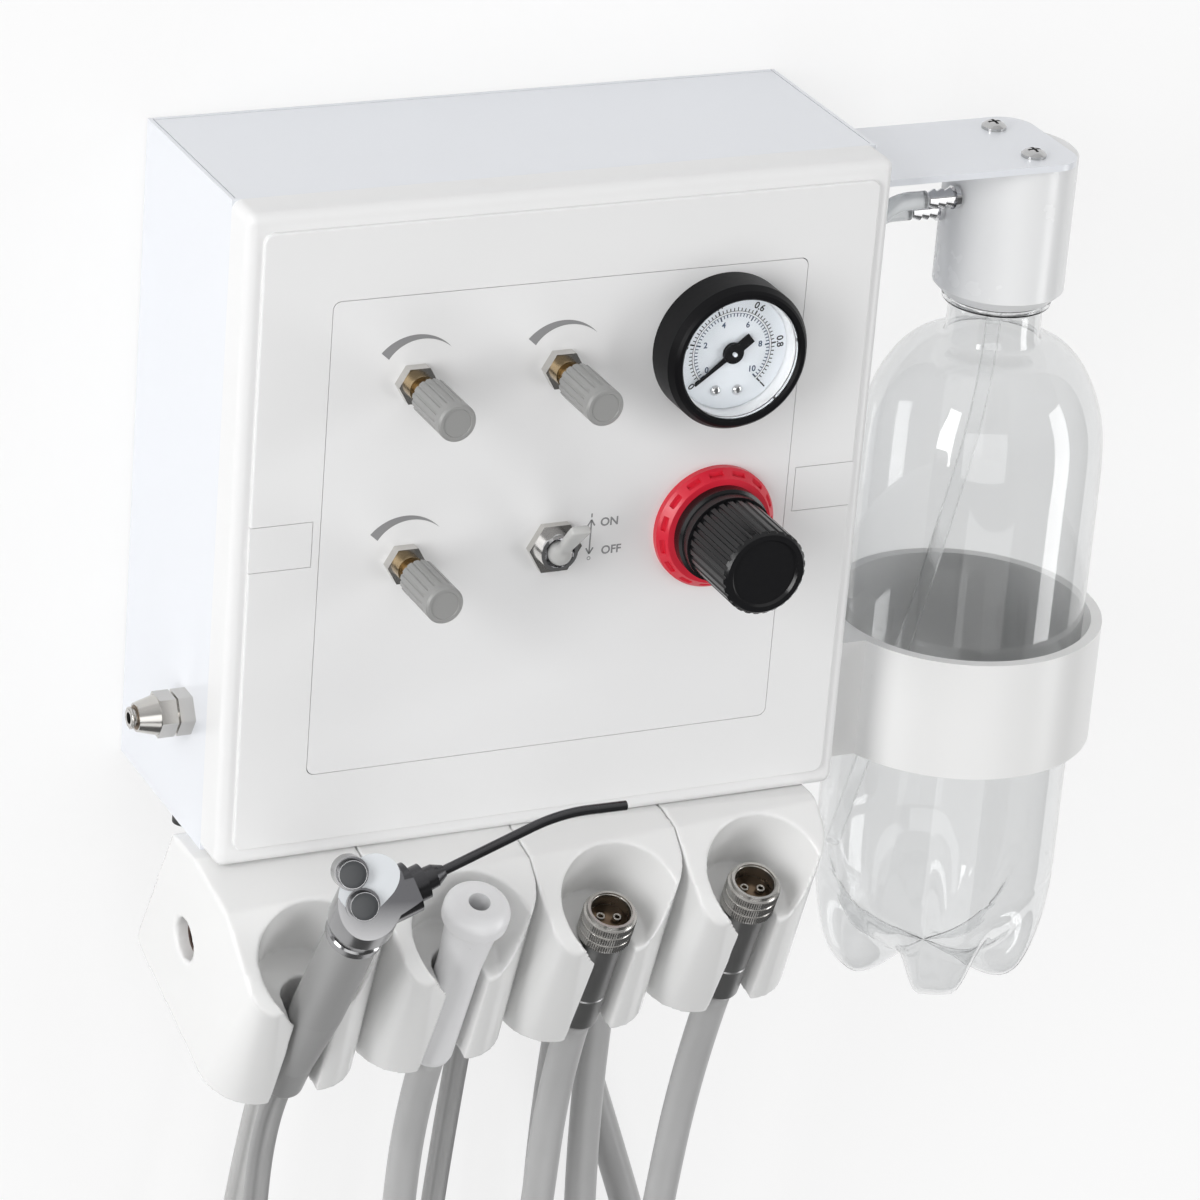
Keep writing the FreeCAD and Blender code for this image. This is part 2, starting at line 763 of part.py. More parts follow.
def make_control_panel():
    """Flush panel, held from behind by its rebate, drilled for the controls."""
    wall = plateau_step + bezel_wall
    body = new_body("control_panel", y=front_y + wall + panel_rebate_t, turn=FRONT)
    holes = [(valve_left_x, valve_top_z, valve_neck_r + fit), (valve_mid_x, valve_top_z, valve_neck_r + fit),
             (valve_left_x, valve_low_z, valve_neck_r + fit), (toggle_x, toggle_z, toggle_bush_r + fit),
             (gauge_x, gauge_z, gauge_neck_r + fit), (reg_x, reg_z, reg_thread_r + fit)]
    rebate = rounded(panel_w + 2 * panel_rebate, panel_h + 2 * panel_rebate, panel_corner)
    pad(body, "rebate", rebate, panel_rebate_t)
    face = rounded(panel_w - 2 * fit, panel_h - 2 * fit, panel_corner)
    pad(body, "face", face, wall, panel_rebate_t)
    pocket(body, "control_holes", [], wall + panel_rebate_t, holes=holes)
    node(body, "control_panel")


PANEL_BACK = plateau_step + bezel_wall + panel_rebate_t


# ---------------------------------------------------------------- flow valves

VALVES = ((1, valve_left_x, valve_top_z), (2, valve_mid_x, valve_top_z), (3, valve_left_x, valve_low_z))


def make_flow_valves():
    bodies = []
    nuts = []
    for number, x, z in VALVES:
        body = new_body("valve_body_%d" % number, x, front_y, z, FRONT)
        back = PANEL_BACK
        revolve(body, "turned_%d" % number, [
            (stem_needle_r + running, -(back + valve_body_l - 3)), (stem_needle_r + running, valve_neck_out),
            (valve_neck_r, valve_neck_out), (valve_neck_r, -back), (valve_body_r, -back),
            (valve_body_r, -(back + valve_body_l)), (0, -(back + valve_body_l)),
            (0, -(back + valve_body_l - 3))])
        bodies.append(body)
        blank = hexagon("valve_nut_blank_%d" % number, valve_nut_af, valve_nut_t, x, front_y, z, FRONT)
        bore = cylinder("valve_nut_bore_%d" % number, valve_neck_r, valve_nut_t, x, front_y, z, FRONT)
        nuts.append(cut("valve_nut_%d" % number, blank, [bore]))
    node(group("valve_body_set", bodies), "flow_valve_bodies")
    node(group("valve_nut_set", nuts), "flow_valve_nuts")
    for number, x, z in VALVES:
        make_flow_stem(number, x, z)
        make_flow_knob(number, x, z)


def make_flow_stem(number, x, z):
    """Brass stem: needle end in the valve, collar in front of it, shank in the knob."""
    body = new_body("stem_%d" % number, x, front_y, z, FRONT)
    inner_end = -(PANEL_BACK + valve_body_l - 5)
    shank_end = flow_knob_front - 3
    revolve(body, "turned_stem_%d" % number, [
        (0, inner_end), (stem_needle_r, inner_end + 3), (stem_needle_r, valve_neck_out + running),
        (stem_r, valve_neck_out + running), (stem_r, shank_end), (0, shank_end)])
    node(body, "flow_stem_%d" % number)


def make_flow_knob(number, x, z):
    """Knob with shallow flutes and a slightly raised rim on its flat end."""
    back = flow_knob_front - flow_knob_l
    shank_end = flow_knob_front - 3
    body = new_body("knob_%d" % number, x, front_y, z, FRONT)
    revolve(body, "turned_knob_%d" % number, [
        (stem_r, back), (flow_knob_r, back), (flow_knob_r, flow_knob_front - 0.6),
        (flow_knob_r - 0.6, flow_knob_front), (flow_knob_r - 1.4, flow_knob_front),
        (flow_knob_r - 1.6, flow_knob_front - 0.3), (0, flow_knob_front - 0.3), (0, shank_end),
        (stem_r, shank_end)])
    doc.recompute()
    flute = pocket(body, "flute_%d" % number, [], flow_knob_l - 2.2, back - 1,
                   [(flow_knob_r + flow_groove_r * 0.3, 0, flow_groove_r)])
    polar(body, "flutes_%d" % number, flute, flow_knob_ribs)
    node(body, "flow_knob_%d" % number)


# ---------------------------------------------------------------- toggle switch

def make_toggle():
    back = PANEL_BACK
    body = new_body("toggle_case", toggle_x, front_y, toggle_z, FRONT)
    pad(body, "switch_case", rectangle(13, 16), 18, -(back + 18))
    pad(body, "bush", [], back + toggle_bush_out, -back, [(0, 0, toggle_bush_r)])
    ball_at = toggle_bush_out
    revolve(body, "ball_seat", [
        (0, ball_at - toggle_ball_r - 1), (2, ball_at - toggle_ball_r - 1),
        (toggle_ball_r + 0.3, ball_at - 1.5), (toggle_ball_r + 0.3, toggle_bush_out + 1),
        (0, toggle_bush_out + 1)], "PartDesign::Groove")
    node(body, "toggle_body")
    blank = hexagon("toggle_nut_blank", toggle_nut_af, toggle_nut_t, toggle_x, front_y, toggle_z, FRONT)
    bore = cylinder("toggle_nut_bore", toggle_bush_r, toggle_nut_t, toggle_x, front_y, toggle_z, FRONT)
    node(cut("toggle_nut_cut", blank, [bore]), "toggle_nut")
    make_toggle_lever(ball_at)


def make_toggle_lever(ball_at):
    """Ball and flat lever, leaning up in its rest place."""
    centre = (toggle_x, front_y - ball_at, toggle_z)
    turn = Rotation(Vector(1, 0, 0), 90 - num(toggle_tilt))
    body = new_body("lever", centre[0], centre[1], centre[2], turn)
    revolve(body, "ball", [(0, -toggle_ball_r, toggle_ball_r), (toggle_ball_r, 0, toggle_ball_r),
                           (0, toggle_ball_r)])
    neck, tip = toggle_neck_w / 2, toggle_lever_w / 2
    sketch = new_sketch(body, "XZ_Plane", "blade_outline")
    outline(sketch, [(-neck, 0), (neck, 0), (neck, toggle_ball_r), (tip, toggle_lever_l - tip),
                     (tip, toggle_lever_l - 1, 1), (tip - 1, toggle_lever_l), (1 - tip, toggle_lever_l, 1),
                     (-tip, toggle_lever_l - 1), (-tip, toggle_lever_l - tip), (-neck, toggle_ball_r)])
    blade = body.newObject("PartDesign::Pad", "blade")
    blade.Profile = sketch
    blade.Midplane = True
    bind(blade, "Length", toggle_lever_t)
    body.Tip = blade
    pin_half = toggle_ball_r + fit
    pin = cylinder("toggle_pin", toggle_pin_r, 2 * pin_half, centre[0] - pin_half, centre[1], centre[2],
                   RIGHT)
    node(fuse("lever_pinned", [body, pin]), "toggle_lever")


# ---------------------------------------------------------------- gauge

def make_gauge():
    body = new_body("gauge_shell", gauge_x, front_y, gauge_z, FRONT)
    dial_back = gauge_front - gauge_dial_set - gauge_dial_t
    back = PANEL_BACK
    revolve(body, "turned_case", [
        (0, -(back + gauge_back)), (gauge_neck_r, -(back + gauge_back)), (gauge_neck_r, 0),
        (gauge_case_r, 0), (gauge_case_r, gauge_front - 3), (gauge_rim_r, gauge_front - 0.8),
        (gauge_rim_r - 0.8, gauge_front), (gauge_bore_r + 0.6, gauge_front),
        (gauge_bore_r, gauge_front - 0.6), (gauge_bore_r, dial_back), (0, dial_back)])
    pad(body, "port", [], 12, -(back + gauge_back + 12), [(0, 0, 6)])
    node(body, "gauge_case")
    dial = new_body("dial", gauge_x, front_y - dial_back, gauge_z, FRONT)
    pad(dial, "disc", [], gauge_dial_t, 0, [(0, 0, gauge_bore_r - running)])
    pad(dial, "pin", [], gauge_dial_t + 2.6, 0, [(0, 0, 0.6)])
    node(dial, "gauge_dial")
    lens_at = gauge_front - 1.2 - gauge_lens_t
    lens = new_body("lens", gauge_x, front_y - lens_at, gauge_z, FRONT)
    pad(lens, "glass", [], gauge_lens_t, 0, [(0, 0, gauge_bore_r - running)])
    node(lens, "gauge_lens")
    make_needle(dial_back + gauge_dial_t + 0.4)


def make_needle(height):
    """Pointer at zero, down and to the left, with its counterweight on the other side."""
    turn = FRONT.multiply(Rotation(Vector(0, 0, 1), scale_start))
    body = new_body("needle", gauge_x, front_y - height, gauge_z, turn)
    pointer = [(-7, -1.6), (-2, -1.6), (0, -0.9), (needle_l, -0.3), (needle_l, 0.3), (0, 0.9),
               (-2, 1.6), (-7, 1.6)]
    pad(body, "pointer", pointer, 0.5, 0.3)
    pad(body, "hub", [], 1.3, 0, [(0, 0, needle_hub_r)])
    pocket(body, "pin_bore", [], 1.3, 0, [(0, 0, 0.6 + running)])
    node(body, "gauge_needle")


# ---------------------------------------------------------------- regulator

def make_regulator():
    back = PANEL_BACK
    body = new_body("reg_body", reg_x, front_y, reg_z, FRONT)
    pad(body, "block", rectangle(reg_body_w, reg_body_w), reg_body_l, -(back + reg_body_l))
    dress(body, "block_edges", "Fillet", 3, is_upright)
    pad(body, "threaded_nose", [], back + ring_nut_t, -back, [(0, 0, reg_thread_r)])
    pocket(body, "spring_chamber", [], back + ring_nut_t + 10, -(back + 10), [(0, 0, 9)])
    node(body, "regulator_body")
    make_ring_nut()
    make_bonnet()
    make_regulator_knob()


def make_ring_nut():
    """Panel ring with rectangular grip recesses around its sloping face."""
    body = new_body("ring_nut", reg_x, front_y, reg_z, FRONT)
    revolve(body, "turned_ring", [
        (reg_thread_r, 0), (ring_nut_r, 0), (ring_nut_r, 2), (ring_nut_r - 2.5, ring_nut_t),
        (reg_thread_r, ring_nut_t)])
    doc.recompute()
    depth = 2.2
    shape = rectangle(3.4, 4.4, ring_nut_r - 0.2, 0)
    notch = pocket(body, "notch", shape, depth + 1, ring_nut_t - depth)
    polar(body, "notches", notch, ring_nut_notches)
    node(body, "regulator_ring")


def make_bonnet():
    """Collar in front of the ring, with the nose that guides the knob."""
    body = new_body("bonnet", reg_x, front_y - ring_nut_t, reg_z, FRONT)
    nose_end = bonnet_l + bonnet_nose_l
    revolve(body, "turned_bonnet", [
        (reg_stem_r + running, 0), (bonnet_r, 0), (bonnet_r, 3.2), (bonnet_r - 0.9, 3.6),
        (bonnet_r - 0.9, bonnet_l), (bonnet_nose_r, bonnet_l), (bonnet_nose_r, nose_end),
        (reg_stem_r + running, nose_end)])
    node(body, "regulator_bonnet")


def make_regulator_knob():
    """Ribbed knob with a dished end, and the spindle that it turns."""
    knob_len = reg_knob_front - ring_nut_t - bonnet_l - seam
    body = new_body("reg_knob", reg_x, front_y - reg_knob_front + knob_len, reg_z, FRONT)
    cup_r = bonnet_nose_r + 0.5
    cup_end = bonnet_nose_l + 2
    revolve(body, "turned_knob", [
        (cup_r, 0), (reg_knob_r, 0), (reg_knob_r, knob_len - 1), (reg_knob_r - 1, knob_len),
        (reg_knob_r - 2.6, knob_len), (reg_knob_r - 3.2, knob_len - 0.8), (0, knob_len - 0.8),
        (0, cup_end + 5), (reg_stem_r + running, cup_end + 5), (reg_stem_r + running, cup_end),
        (cup_r, cup_end)])
    doc.recompute()
    groove = pocket(body, "rib_gap", [], knob_len + 2, -1, [(reg_knob_r + rib_gap_r / 3, 0, rib_gap_r)])
    polar(body, "ribs", groove, reg_knob_ribs)
    node(body, "regulator_knob")
    stem = new_body("reg_stem", reg_x, front_y, reg_z, FRONT)
    stem_end = reg_knob_front - knob_len + cup_end + 5 - reg_knob_lift / 5
    pad(stem, "spindle", [], stem_end + 4, -4, [(0, 0, reg_stem_r)])
    pad(stem, "spring_plate", [], 2, -4, [(0, 0, 8)])
    node(stem, "regulator_stem")


# ---------------------------------------------------------------- air inlet

def make_inlet():
    x = -(case_w / 2)
    inner = new_body("inlet_core", x, inlet_y, inlet_z, LEFT)
    inner_l = sheet_t + inlet_inside
    end = inlet_nut_t + 0.7 + inlet_cap_l + 2
    pad(inner, "thread", [], inner_l + inlet_nut_t + 4, -inner_l, [(0, 0, inlet_thread_r)])
    pad(inner, "tail", [], end, 0, [(0, 0, inlet_tube_r)])
    outer_nut = hexagon("inlet_nut_out", inlet_af, inlet_nut_t, x, inlet_y, inlet_z, LEFT)
    inner_nut = hexagon("inlet_nut_in", inlet_af, 4, x + sheet_t + 4, inlet_y, inlet_z, LEFT)
    through = cylinder("inlet_bore", inlet_bore_r, end + inner_l, x + inner_l, inlet_y, inlet_z, LEFT)
    node(cut("inlet_bored", fuse("inlet_fused", [inner, outer_nut, inner_nut]), [through]), "inlet_bulkhead")
    cap_x = x - inlet_nut_t - 0.7
    cap = new_body("inlet_cap", cap_x, inlet_y, inlet_z, LEFT)
    hex_l = 5
    revolve(cap, "cone", [
        (inlet_thread_r + running, 0), (inlet_af / 2, 0), (inlet_af / 2, hex_l),
        (inlet_af / 2 - 1.7, inlet_cap_l), (inlet_tube_r + running, inlet_cap_l),
        (inlet_tube_r + running, hex_l), (inlet_thread_r + running, hex_l - 1.4)])
    blank = hexagon("inlet_cap_hex", inlet_af, hex_l, cap_x, inlet_y, inlet_z, LEFT)
    bore = cylinder("inlet_cap_bore", inlet_thread_r + running, hex_l, cap_x, inlet_y, inlet_z, LEFT)
    ring = cut("inlet_cap_ring", blank, [bore])
    node(fuse("inlet_cap_fused", [ring, cap]), "inlet_cap_nut")


# ---------------------------------------------------------------- bottle group

def make_bracket():
    """Shelf plate with a flange that is screwed to the right wall of the case."""
    wall_x = case_w / 2
    reach = bottle_x + plate_over - wall_x
    body = new_body("shelf", wall_x, bottle_y, plate_top - plate_t)
    half = plate_w / 2
    r = plate_corner
    pad(body, "shelf_plate", [(0, -half), (reach - r, -half, r), (reach, r - half), (reach, half - r, r),
                              (reach - r, half), (0, half)], plate_t)
    pad(body, "flange", rectangle(plate_t, plate_w, plate_t / 2, 0), plate_flange_h, plate_t - plate_flange_h)
    holes = [(bottle_x - wall_x, side * plate_screw_gap / 2, screw_r + fit) for side in (-1, 1)]
    pocket(body, "cap_screw_holes", [], plate_t, 0, holes)
    tools = [cylinder("flange_hole_%d" % (side + 1), screw_r + fit, plate_t, wall_x,
                      bottle_y + side * plate_screw_gap / 2, flange_screw_z(), RIGHT) for side in (-1, 1)]
    node(cut("shelf_drilled", body, tools), "bottle_bracket")


def pan_screw(name, length, x, y, z, turn):
    """Pan-head screw with a cross recess; its head sits on z = 0 of its own frame."""
    body = new_body(name, x, y, z, turn)
    revolve(body, name + "_turned", [
        (0, -length), (screw_r, -length), (screw_r, 0), (screw_head_r, 0),
        (screw_head_r, screw_head_t * 0.4, 2 * screw_head_t), (screw_head_r * 0.45, screw_head_t),
        (0, screw_head_t)])
    for i, size in enumerate(((screw_head_r * 1.1, 0.9), (0.9, screw_head_r * 1.1))):
        pocket(body, "%s_slot_%d" % (name, i), rectangle(size[0], size[1]), screw_head_t, screw_head_t - 1.2)
    return body


def make_screws():
    """The pan-head screws of the shelf, the bottle ring and the holder blocks."""
    screws = []
    wall_x = case_w / 2
    for side in (-1, 1):
        y = bottle_y + side * plate_screw_gap / 2
        screws.append(pan_screw("cap_screw_%d" % (side + 1), plate_t + 8, bottle_x, y, plate_top, UP))
        screws.append(pan_screw("flange_screw_%d" % (side + 1), plate_t + sheet_t + 4,
                                wall_x + plate_t, y, flange_screw_z(), RIGHT))
        screws.append(pan_screw("ring_screw_%d" % (side + 1), sheet_t + 7, wall_x - sheet_t, bottle_y,
                                pad_screw_z(side), LEFT))
    for number in HOLDERS:
        screws.append(pan_screw("holder_screw_%d" % number, sheet_t + 10, holder_x(number),
                                holder_screw_y(), case_low + sheet_t, UP))
    node(group("screw_set", screws), "pan_screws")


def make_cap():
    """Bottle cap that hangs under the shelf, with its two hose barbs."""
    top = plate_top - plate_t
    body = new_body("cap", bottle_x, bottle_y, 0)
    thread_r = neck_r + running
    ceiling = neck_top + gasket_t
    revolve(body, "turned_cap", [
        (thread_r, cap_low), (cap_r - cap_chamfer, cap_low), (cap_r, cap_low + cap_chamfer),
        (cap_r, top - 0.6), (cap_r - 0.6, top), (0, top), (0, ceiling + 2.5),
        (dip_r, ceiling + 2.5), (dip_r, ceiling), (thread_r, ceiling)])
    holes = [(0, side * plate_screw_gap / 2, screw_r) for side in (-1, 1)]
    pocket(body, "pilot_holes", [], 8, top - 8, holes)
    node(body, "bottle_cap")
    barbs = [make_barb(i) for i in (0, 1)]
    node(group("barb_pair", barbs), "cap_barbs")


def barb_level(i):
    return barb_z + 7 * i


def barb_root_x(i):
    """Where a barb's flange stands on the round wall of the cap."""
    off = num(barb_gap) / 2
    return bottle_x - math.sqrt(num(cap_r) ** 2 - off ** 2) - 0.6


def make_barb(i):
    """Hose barb with three ribs on the left of the cap."""
    body = new_body("barb_%d" % i, barb_root_x(i), tube_y(i), barb_level(i), LEFT)
    core = bottle_tube_r - 0.8
    shape = [(0, 0), (core + 1.6, 0), (core + 1.6, 1.6), (core, 1.6)]
    for rib in range(3):
        start = 2.4 + 2.6 * rib
        shape += [(core, start), (core + 1.1, start), (core + 0.1, start + 2.2)]
    shape += [(core, 10.6), (0, 10.6)]
    revolve(body, "barb_turned_%d" % i, shape)
    return body


def make_bottle():
    """Blow-moulded bottle: threaded neck, domed shoulder, straight body and five feet."""
    ring_top = cap_low - seam
    ring_low = ring_top - neck_ring_t
    shoulder = ring_low - 9
    dome_low = dim("shoulder_low", -22)
    wall = bottle_wall
    body = new_body("bottle_blank", bottle_x, bottle_y, 0)
    seat = bottle_base + base_h
    revolve(body, "blown", [
        (0, bottle_base + 9), (10, bottle_base + 5), (foot_r, bottle_base),
        (foot_r + 3.5, bottle_base + 2, base_h * 1.1), (bottle_r, seat), (bottle_r, dome_low, 52),
        (neck_r + 1, shoulder), (neck_r + 1, ring_low), (neck_ring_r, ring_low), (neck_ring_r, ring_top),
        (neck_r - 0.9, ring_top), (neck_r - 0.9, neck_top), (0, neck_top)])
    doc.recompute()
    valley_half = dim("valley_half", 5)
    sketch = new_sketch(body, "XZ_Plane", "valley_outline")
    outline(sketch, [(8, bottle_base - 1), (foot_r + 14, bottle_base - 1), (foot_r + 14, seat - 6),
                     (foot_r + 4, bottle_base + 15), (8, bottle_base + 8)])
    valley = body.newObject("PartDesign::Pocket", "valley")
    valley.Profile = sketch
    valley.Midplane = True
    bind(valley, "Length", 2 * valley_half)
    body.Tip = valley
    polar(body, "valleys", valley, bottle_feet)
    cavity = new_body("bottle_inside", bottle_x, bottle_y, 0)
    revolve(cavity, "air", [
        (0, bottle_base + 17), (foot_r - 6, bottle_base + 18), (bottle_r - wall - 6, seat - 8, 14),
        (bottle_r - wall, seat + 2), (bottle_r - wall, dome_low, 51), (neck_bore_r, shoulder),
        (neck_bore_r, neck_top + 1), (0, neck_top + 1)])
    node(cut("bottle_hollow", body, [cavity]), "bottle")
    gasket = new_body("gasket", bottle_x, bottle_y, neck_top)
    pad(gasket, "washer", [], gasket_t - fit, 0, [(0, 0, neck_r - 0.9), (0, 0, dip_r + 4)])
    node(gasket, "bottle_gasket")
    bend_z, end_z = neck_top - dip_straight, bottle_base + dip_clear
    half_x, half_y = dip_reach * 0.45, dip_back * 0.45
    dip = tube("dip", [(bottle_x, bottle_y, neck_top + gasket_t + 2.5), (bottle_x, bottle_y, bend_z),
                       (bottle_x - half_x, bottle_y + half_y, (bend_z + end_z) / 2),
                       (bottle_x - dip_reach, bottle_y + dip_back, end_z)], dip_r)
    node(dip, "dip_tube")


def make_bottle_ring():
    """Band round the bottle with the pad that stands off the case wall."""
    low = holder_ring_low
    wall_x = case_w / 2
    band = cylinder("band_outer", holder_ring_r, holder_ring_h, bottle_x, bottle_y, low)
    pad_len = bottle_x - wall_x
    arm = box("band_pad", (pad_len, holder_pad_w, holder_ring_h), wall_x,
              bottle_y - holder_pad_w / 2, low)
    bore = cylinder("band_bore", holder_ring_r - holder_ring_wall, holder_ring_h + 2, bottle_x, bottle_y,
                    low - 1)
    whole = fuse("band_whole", [band, arm])
    tools = [bore]
    for side in (-1, 1):
        tools.append(cylinder("band_screw_hole_%d" % (side + 1), screw_r, 9, wall_x, bottle_y,
                              pad_screw_z(side), RIGHT))
    node(cut("band_cut", whole, tools), "bottle_ring")


def make_bottle_tubes():
    """Clear tubes from the cap's barbs down into the case wall."""
    tubes = []
    for i in (0, 1):
        start = num(barb_root_x(i)) - 10.6
        level = num(barb_level(i))
        wall = num(tube_wall_z(i))
        wall_x = num(case_w) / 2
        run = (start - wall_x) / 3
        y = num(tube_y(i))
        points = [(start, y, level), (start - run, y, level), (wall_x + run, y, wall), (wall_x - 5, y, wall)]
        tubes.append(tube("bottle_tube_%d" % i, points, bottle_tube_r))
    node(group("bottle_tube_pair", tubes), "bottle_tubes")


# ---------------------------------------------------------------- instrument holders

def row_turn():
    """The row hangs on its bar with its left end a little lower and further forward."""
    yaw = Rotation(Vector(0, 0, 1), num(row_yaw))
    roll = Rotation(Vector(0, 1, 0), -num(row_roll))
    return yaw.multiply(roll)


def row_place():
    """Turn of the whole row about its middle, as a placement."""
    middle = Vector(num(holder_x(1) + 1.5 * holder_pitch), num(socket_y), num(socket_z))
    return Placement(middle - row_turn().multVec(middle), row_turn())


def swung(name, items):
    """Objects built square to the case, turned with the row."""
    obj = group(name, items)
    obj.Placement = row_place()
    return obj


def row_point(x, y, z):
    """Where a point of the square row lies once the row is turned."""
    place = row_place().multVec(Vector(num(x), num(y), num(z)))
    return place.x, place.y, place.z


def block_profile(body, width):
    """Side outline of a holder block, front towards +x of the sketch, padded along its width."""
    nose = block_front * 0.6
    points = [(2.5 - block_back, -block_low), (nose, -block_low), (block_front, 14), (block_front, 19, block_front),
              (2, block_rise - 6), (0.5 - block_front, block_rise), (-block_back * 0.62, block_rise - 3),
              (6.5 - block_back, block_rise - 5), (-block_back, 6 - block_low, 6)]
    pad(body, body.Name + "_side", points, width)


def plan_section(body, name, up, left, front, tongue, right):
    """Plan outline of a holder block at one height along the socket axis; front is -y.

    left: how far forward the left wall runs flat, and the radius of the arc to the front; tongue: the
    slot's right edge and the radius of the arc that leads from it to right, on the right wall.
    """
    half = holder_w / 2
    sketch = new_sketch(body, "XY_Plane", name, up)
    outline(sketch, [
        (-half, block_back), (-half, -left[0], left[1]), (left[1] - half, -front), tongue, right,
        (half, block_back / 2), (half, block_back)])
    return sketch


def holder_plan(number):
    """Loft between the plan outlines of the block's foot and of its top."""
    name = "holder_%d_plan" % number
    body = new_body(name, holder_x(number), socket_y, socket_z, leaning(socket_tilt))
    half = holder_w / 2
    low = plan_section(body, name + "_low", -block_low - 2, (-8, 17), block_front * 0.6,
                       (slot_front_half, -8, 13.5), (half - 1, 1))
    top = plan_section(body, name + "_top", block_rise + 3, (10, 5), block_front + 0.5,
                       (slot_front_half, -7.5, 18.5), (half, 9))
    loft = body.newObject("PartDesign::AdditiveLoft", name + "_loft")
    loft.Profile = low
    loft.Sections = [top]
    loft.Ruled = True
    body.Tip = loft
    return body


def holder_side(number):
    """The side outline, turned so that its x runs to the front of the socket's frame."""
    name = "holder_%d_side" % number
    turn = leaning(socket_tilt).multiply(Rotation(Vector(0, -1, 0), Vector(0, 0, 1), Vector(-1, 0, 0), "ZXY"))
    body = new_body(name, holder_x(number) + holder_w / 2, socket_y, socket_z, turn)
    block_profile(body, holder_w)
    return body


def funnel_tool(number):
    """Leaning cone that opens the socket towards the front, ended at the seat."""
    lean = socket_tilt + funnel_lean
    y = socket_y + funnel_apex_back * cosine(socket_tilt) + funnel_apex_low * sine(socket_tilt)
    z = socket_z + funnel_apex_back * sine(socket_tilt) - funnel_apex_low * cosine(socket_tilt)
    length = 2 * (block_rise + block_low)
    cone = doc.addObject("Part::Cone", "funnel_cone_%d" % number)
    cone.Radius1 = 0
    bind(cone, "Radius2", length * sine(funnel_half) / num(cosine(funnel_half)))
    bind(cone, "Height", length)
    put(cone, holder_x(number), y, z, leaning(lean))
    keep = cylinder("funnel_keep_%d" % number, length, length, holder_x(number),
                    socket_y - seat_up * sine(socket_tilt), socket_z + seat_up * cosine(socket_tilt),
                    leaning(socket_tilt))
    return common("funnel_%d" % number, cone, keep)


def slot_tool(number):
    """Entry slot from the front into the socket, wider at its mouth."""
    name = "slot_%d" % number
    body = new_body(name, holder_x(number), socket_y, socket_z, leaning(socket_tilt))
    mouth = slot_front_half + (slot_front_half - socket_r) * 2
    reach, low = 3 * block_front, 1.6 * block_low
    wedge = [(-socket_r, 0), (-mouth, -reach), (mouth, -reach), (socket_r, 0)]
    pad(body, name + "_wedge", wedge, 2.5 * low, -low)
    return body


def make_holders():
    for number in HOLDERS:
        x = holder_x(number)
        blank = common("holder_blank_%d" % number, holder_side(number), holder_plan(number))
        low = 1.6 * block_low
        socket = cylinder("socket_%d" % number, socket_r, 2.5 * low, x, socket_y + low * sine(socket_tilt),
                          socket_z - low * cosine(socket_tilt), leaning(socket_tilt))
        bore = cylinder("bar_bore_%d" % number, bar_r + seam, holder_w + 2, x - holder_w / 2 - 1,
                        bar_y, bar_z, RIGHT)
        above = box("case_clear_%d" % number, (case_w * 2, case_depth * 2, block_rise), -case_w,
                    -2 * case_depth + block_rise / 2, case_low)
        pilot = cylinder("pilot_%d" % number, screw_r, 12, x, holder_screw_y(), case_low - 12)
        tools = [funnel_tool(number), slot_tool(number), socket, bore]
        shaped = cut("holder_shaped_%d" % number, blank, tools)
        turned = swung("holder_turned_%d" % number, [shaped])
        node(cut("holder_cut_%d" % number, turned, [above, pilot]), "holder_%d" % number)
    make_bar()


def make_bar():
    """Tube through all four blocks, and the ear that carries its right end."""
    left = holder_x(1) - holder_w / 2 + bar_set_back
    ear_x = holder_x(4) + holder_w / 2 + ear_gap
    length = ear_x + ear_t + 1 - left
    outer = cylinder("bar_outer", bar_r, length, left, bar_y, bar_z, RIGHT)
    inner = cylinder("bar_inner", bar_r - bar_wall, length, left, bar_y, bar_z, RIGHT)
    node(swung("bar_turned", [cut("bar_tube", outer, [inner])]), "holder_bar")
    x, y, z = row_point(ear_x, bar_y, bar_z)
    ear = new_body("ear", x, y, z, RIGHT)
    top = case_low - z
    half = ear_half
    pad(ear, "ear_plate", [(-half, top), (-half, 0, half), (0, -half, half), (half, 0), (half, top)], ear_t,
        holes=[(0, 0, bar_r + fit)])
    lip = box("ear_lip", (case_w / 2 - x, 2 * half, ear_t), x, y - half, case_low - ear_t)
    node(fuse("ear_whole", [ear, lip]), "holder_ear")


# ---------------------------------------------------------------- instruments

def along(y, z, tilt, distance):
    """Point on an instrument's axis at a distance above its lower end."""
    return y - distance * sine(tilt), z + distance * cosine(tilt)


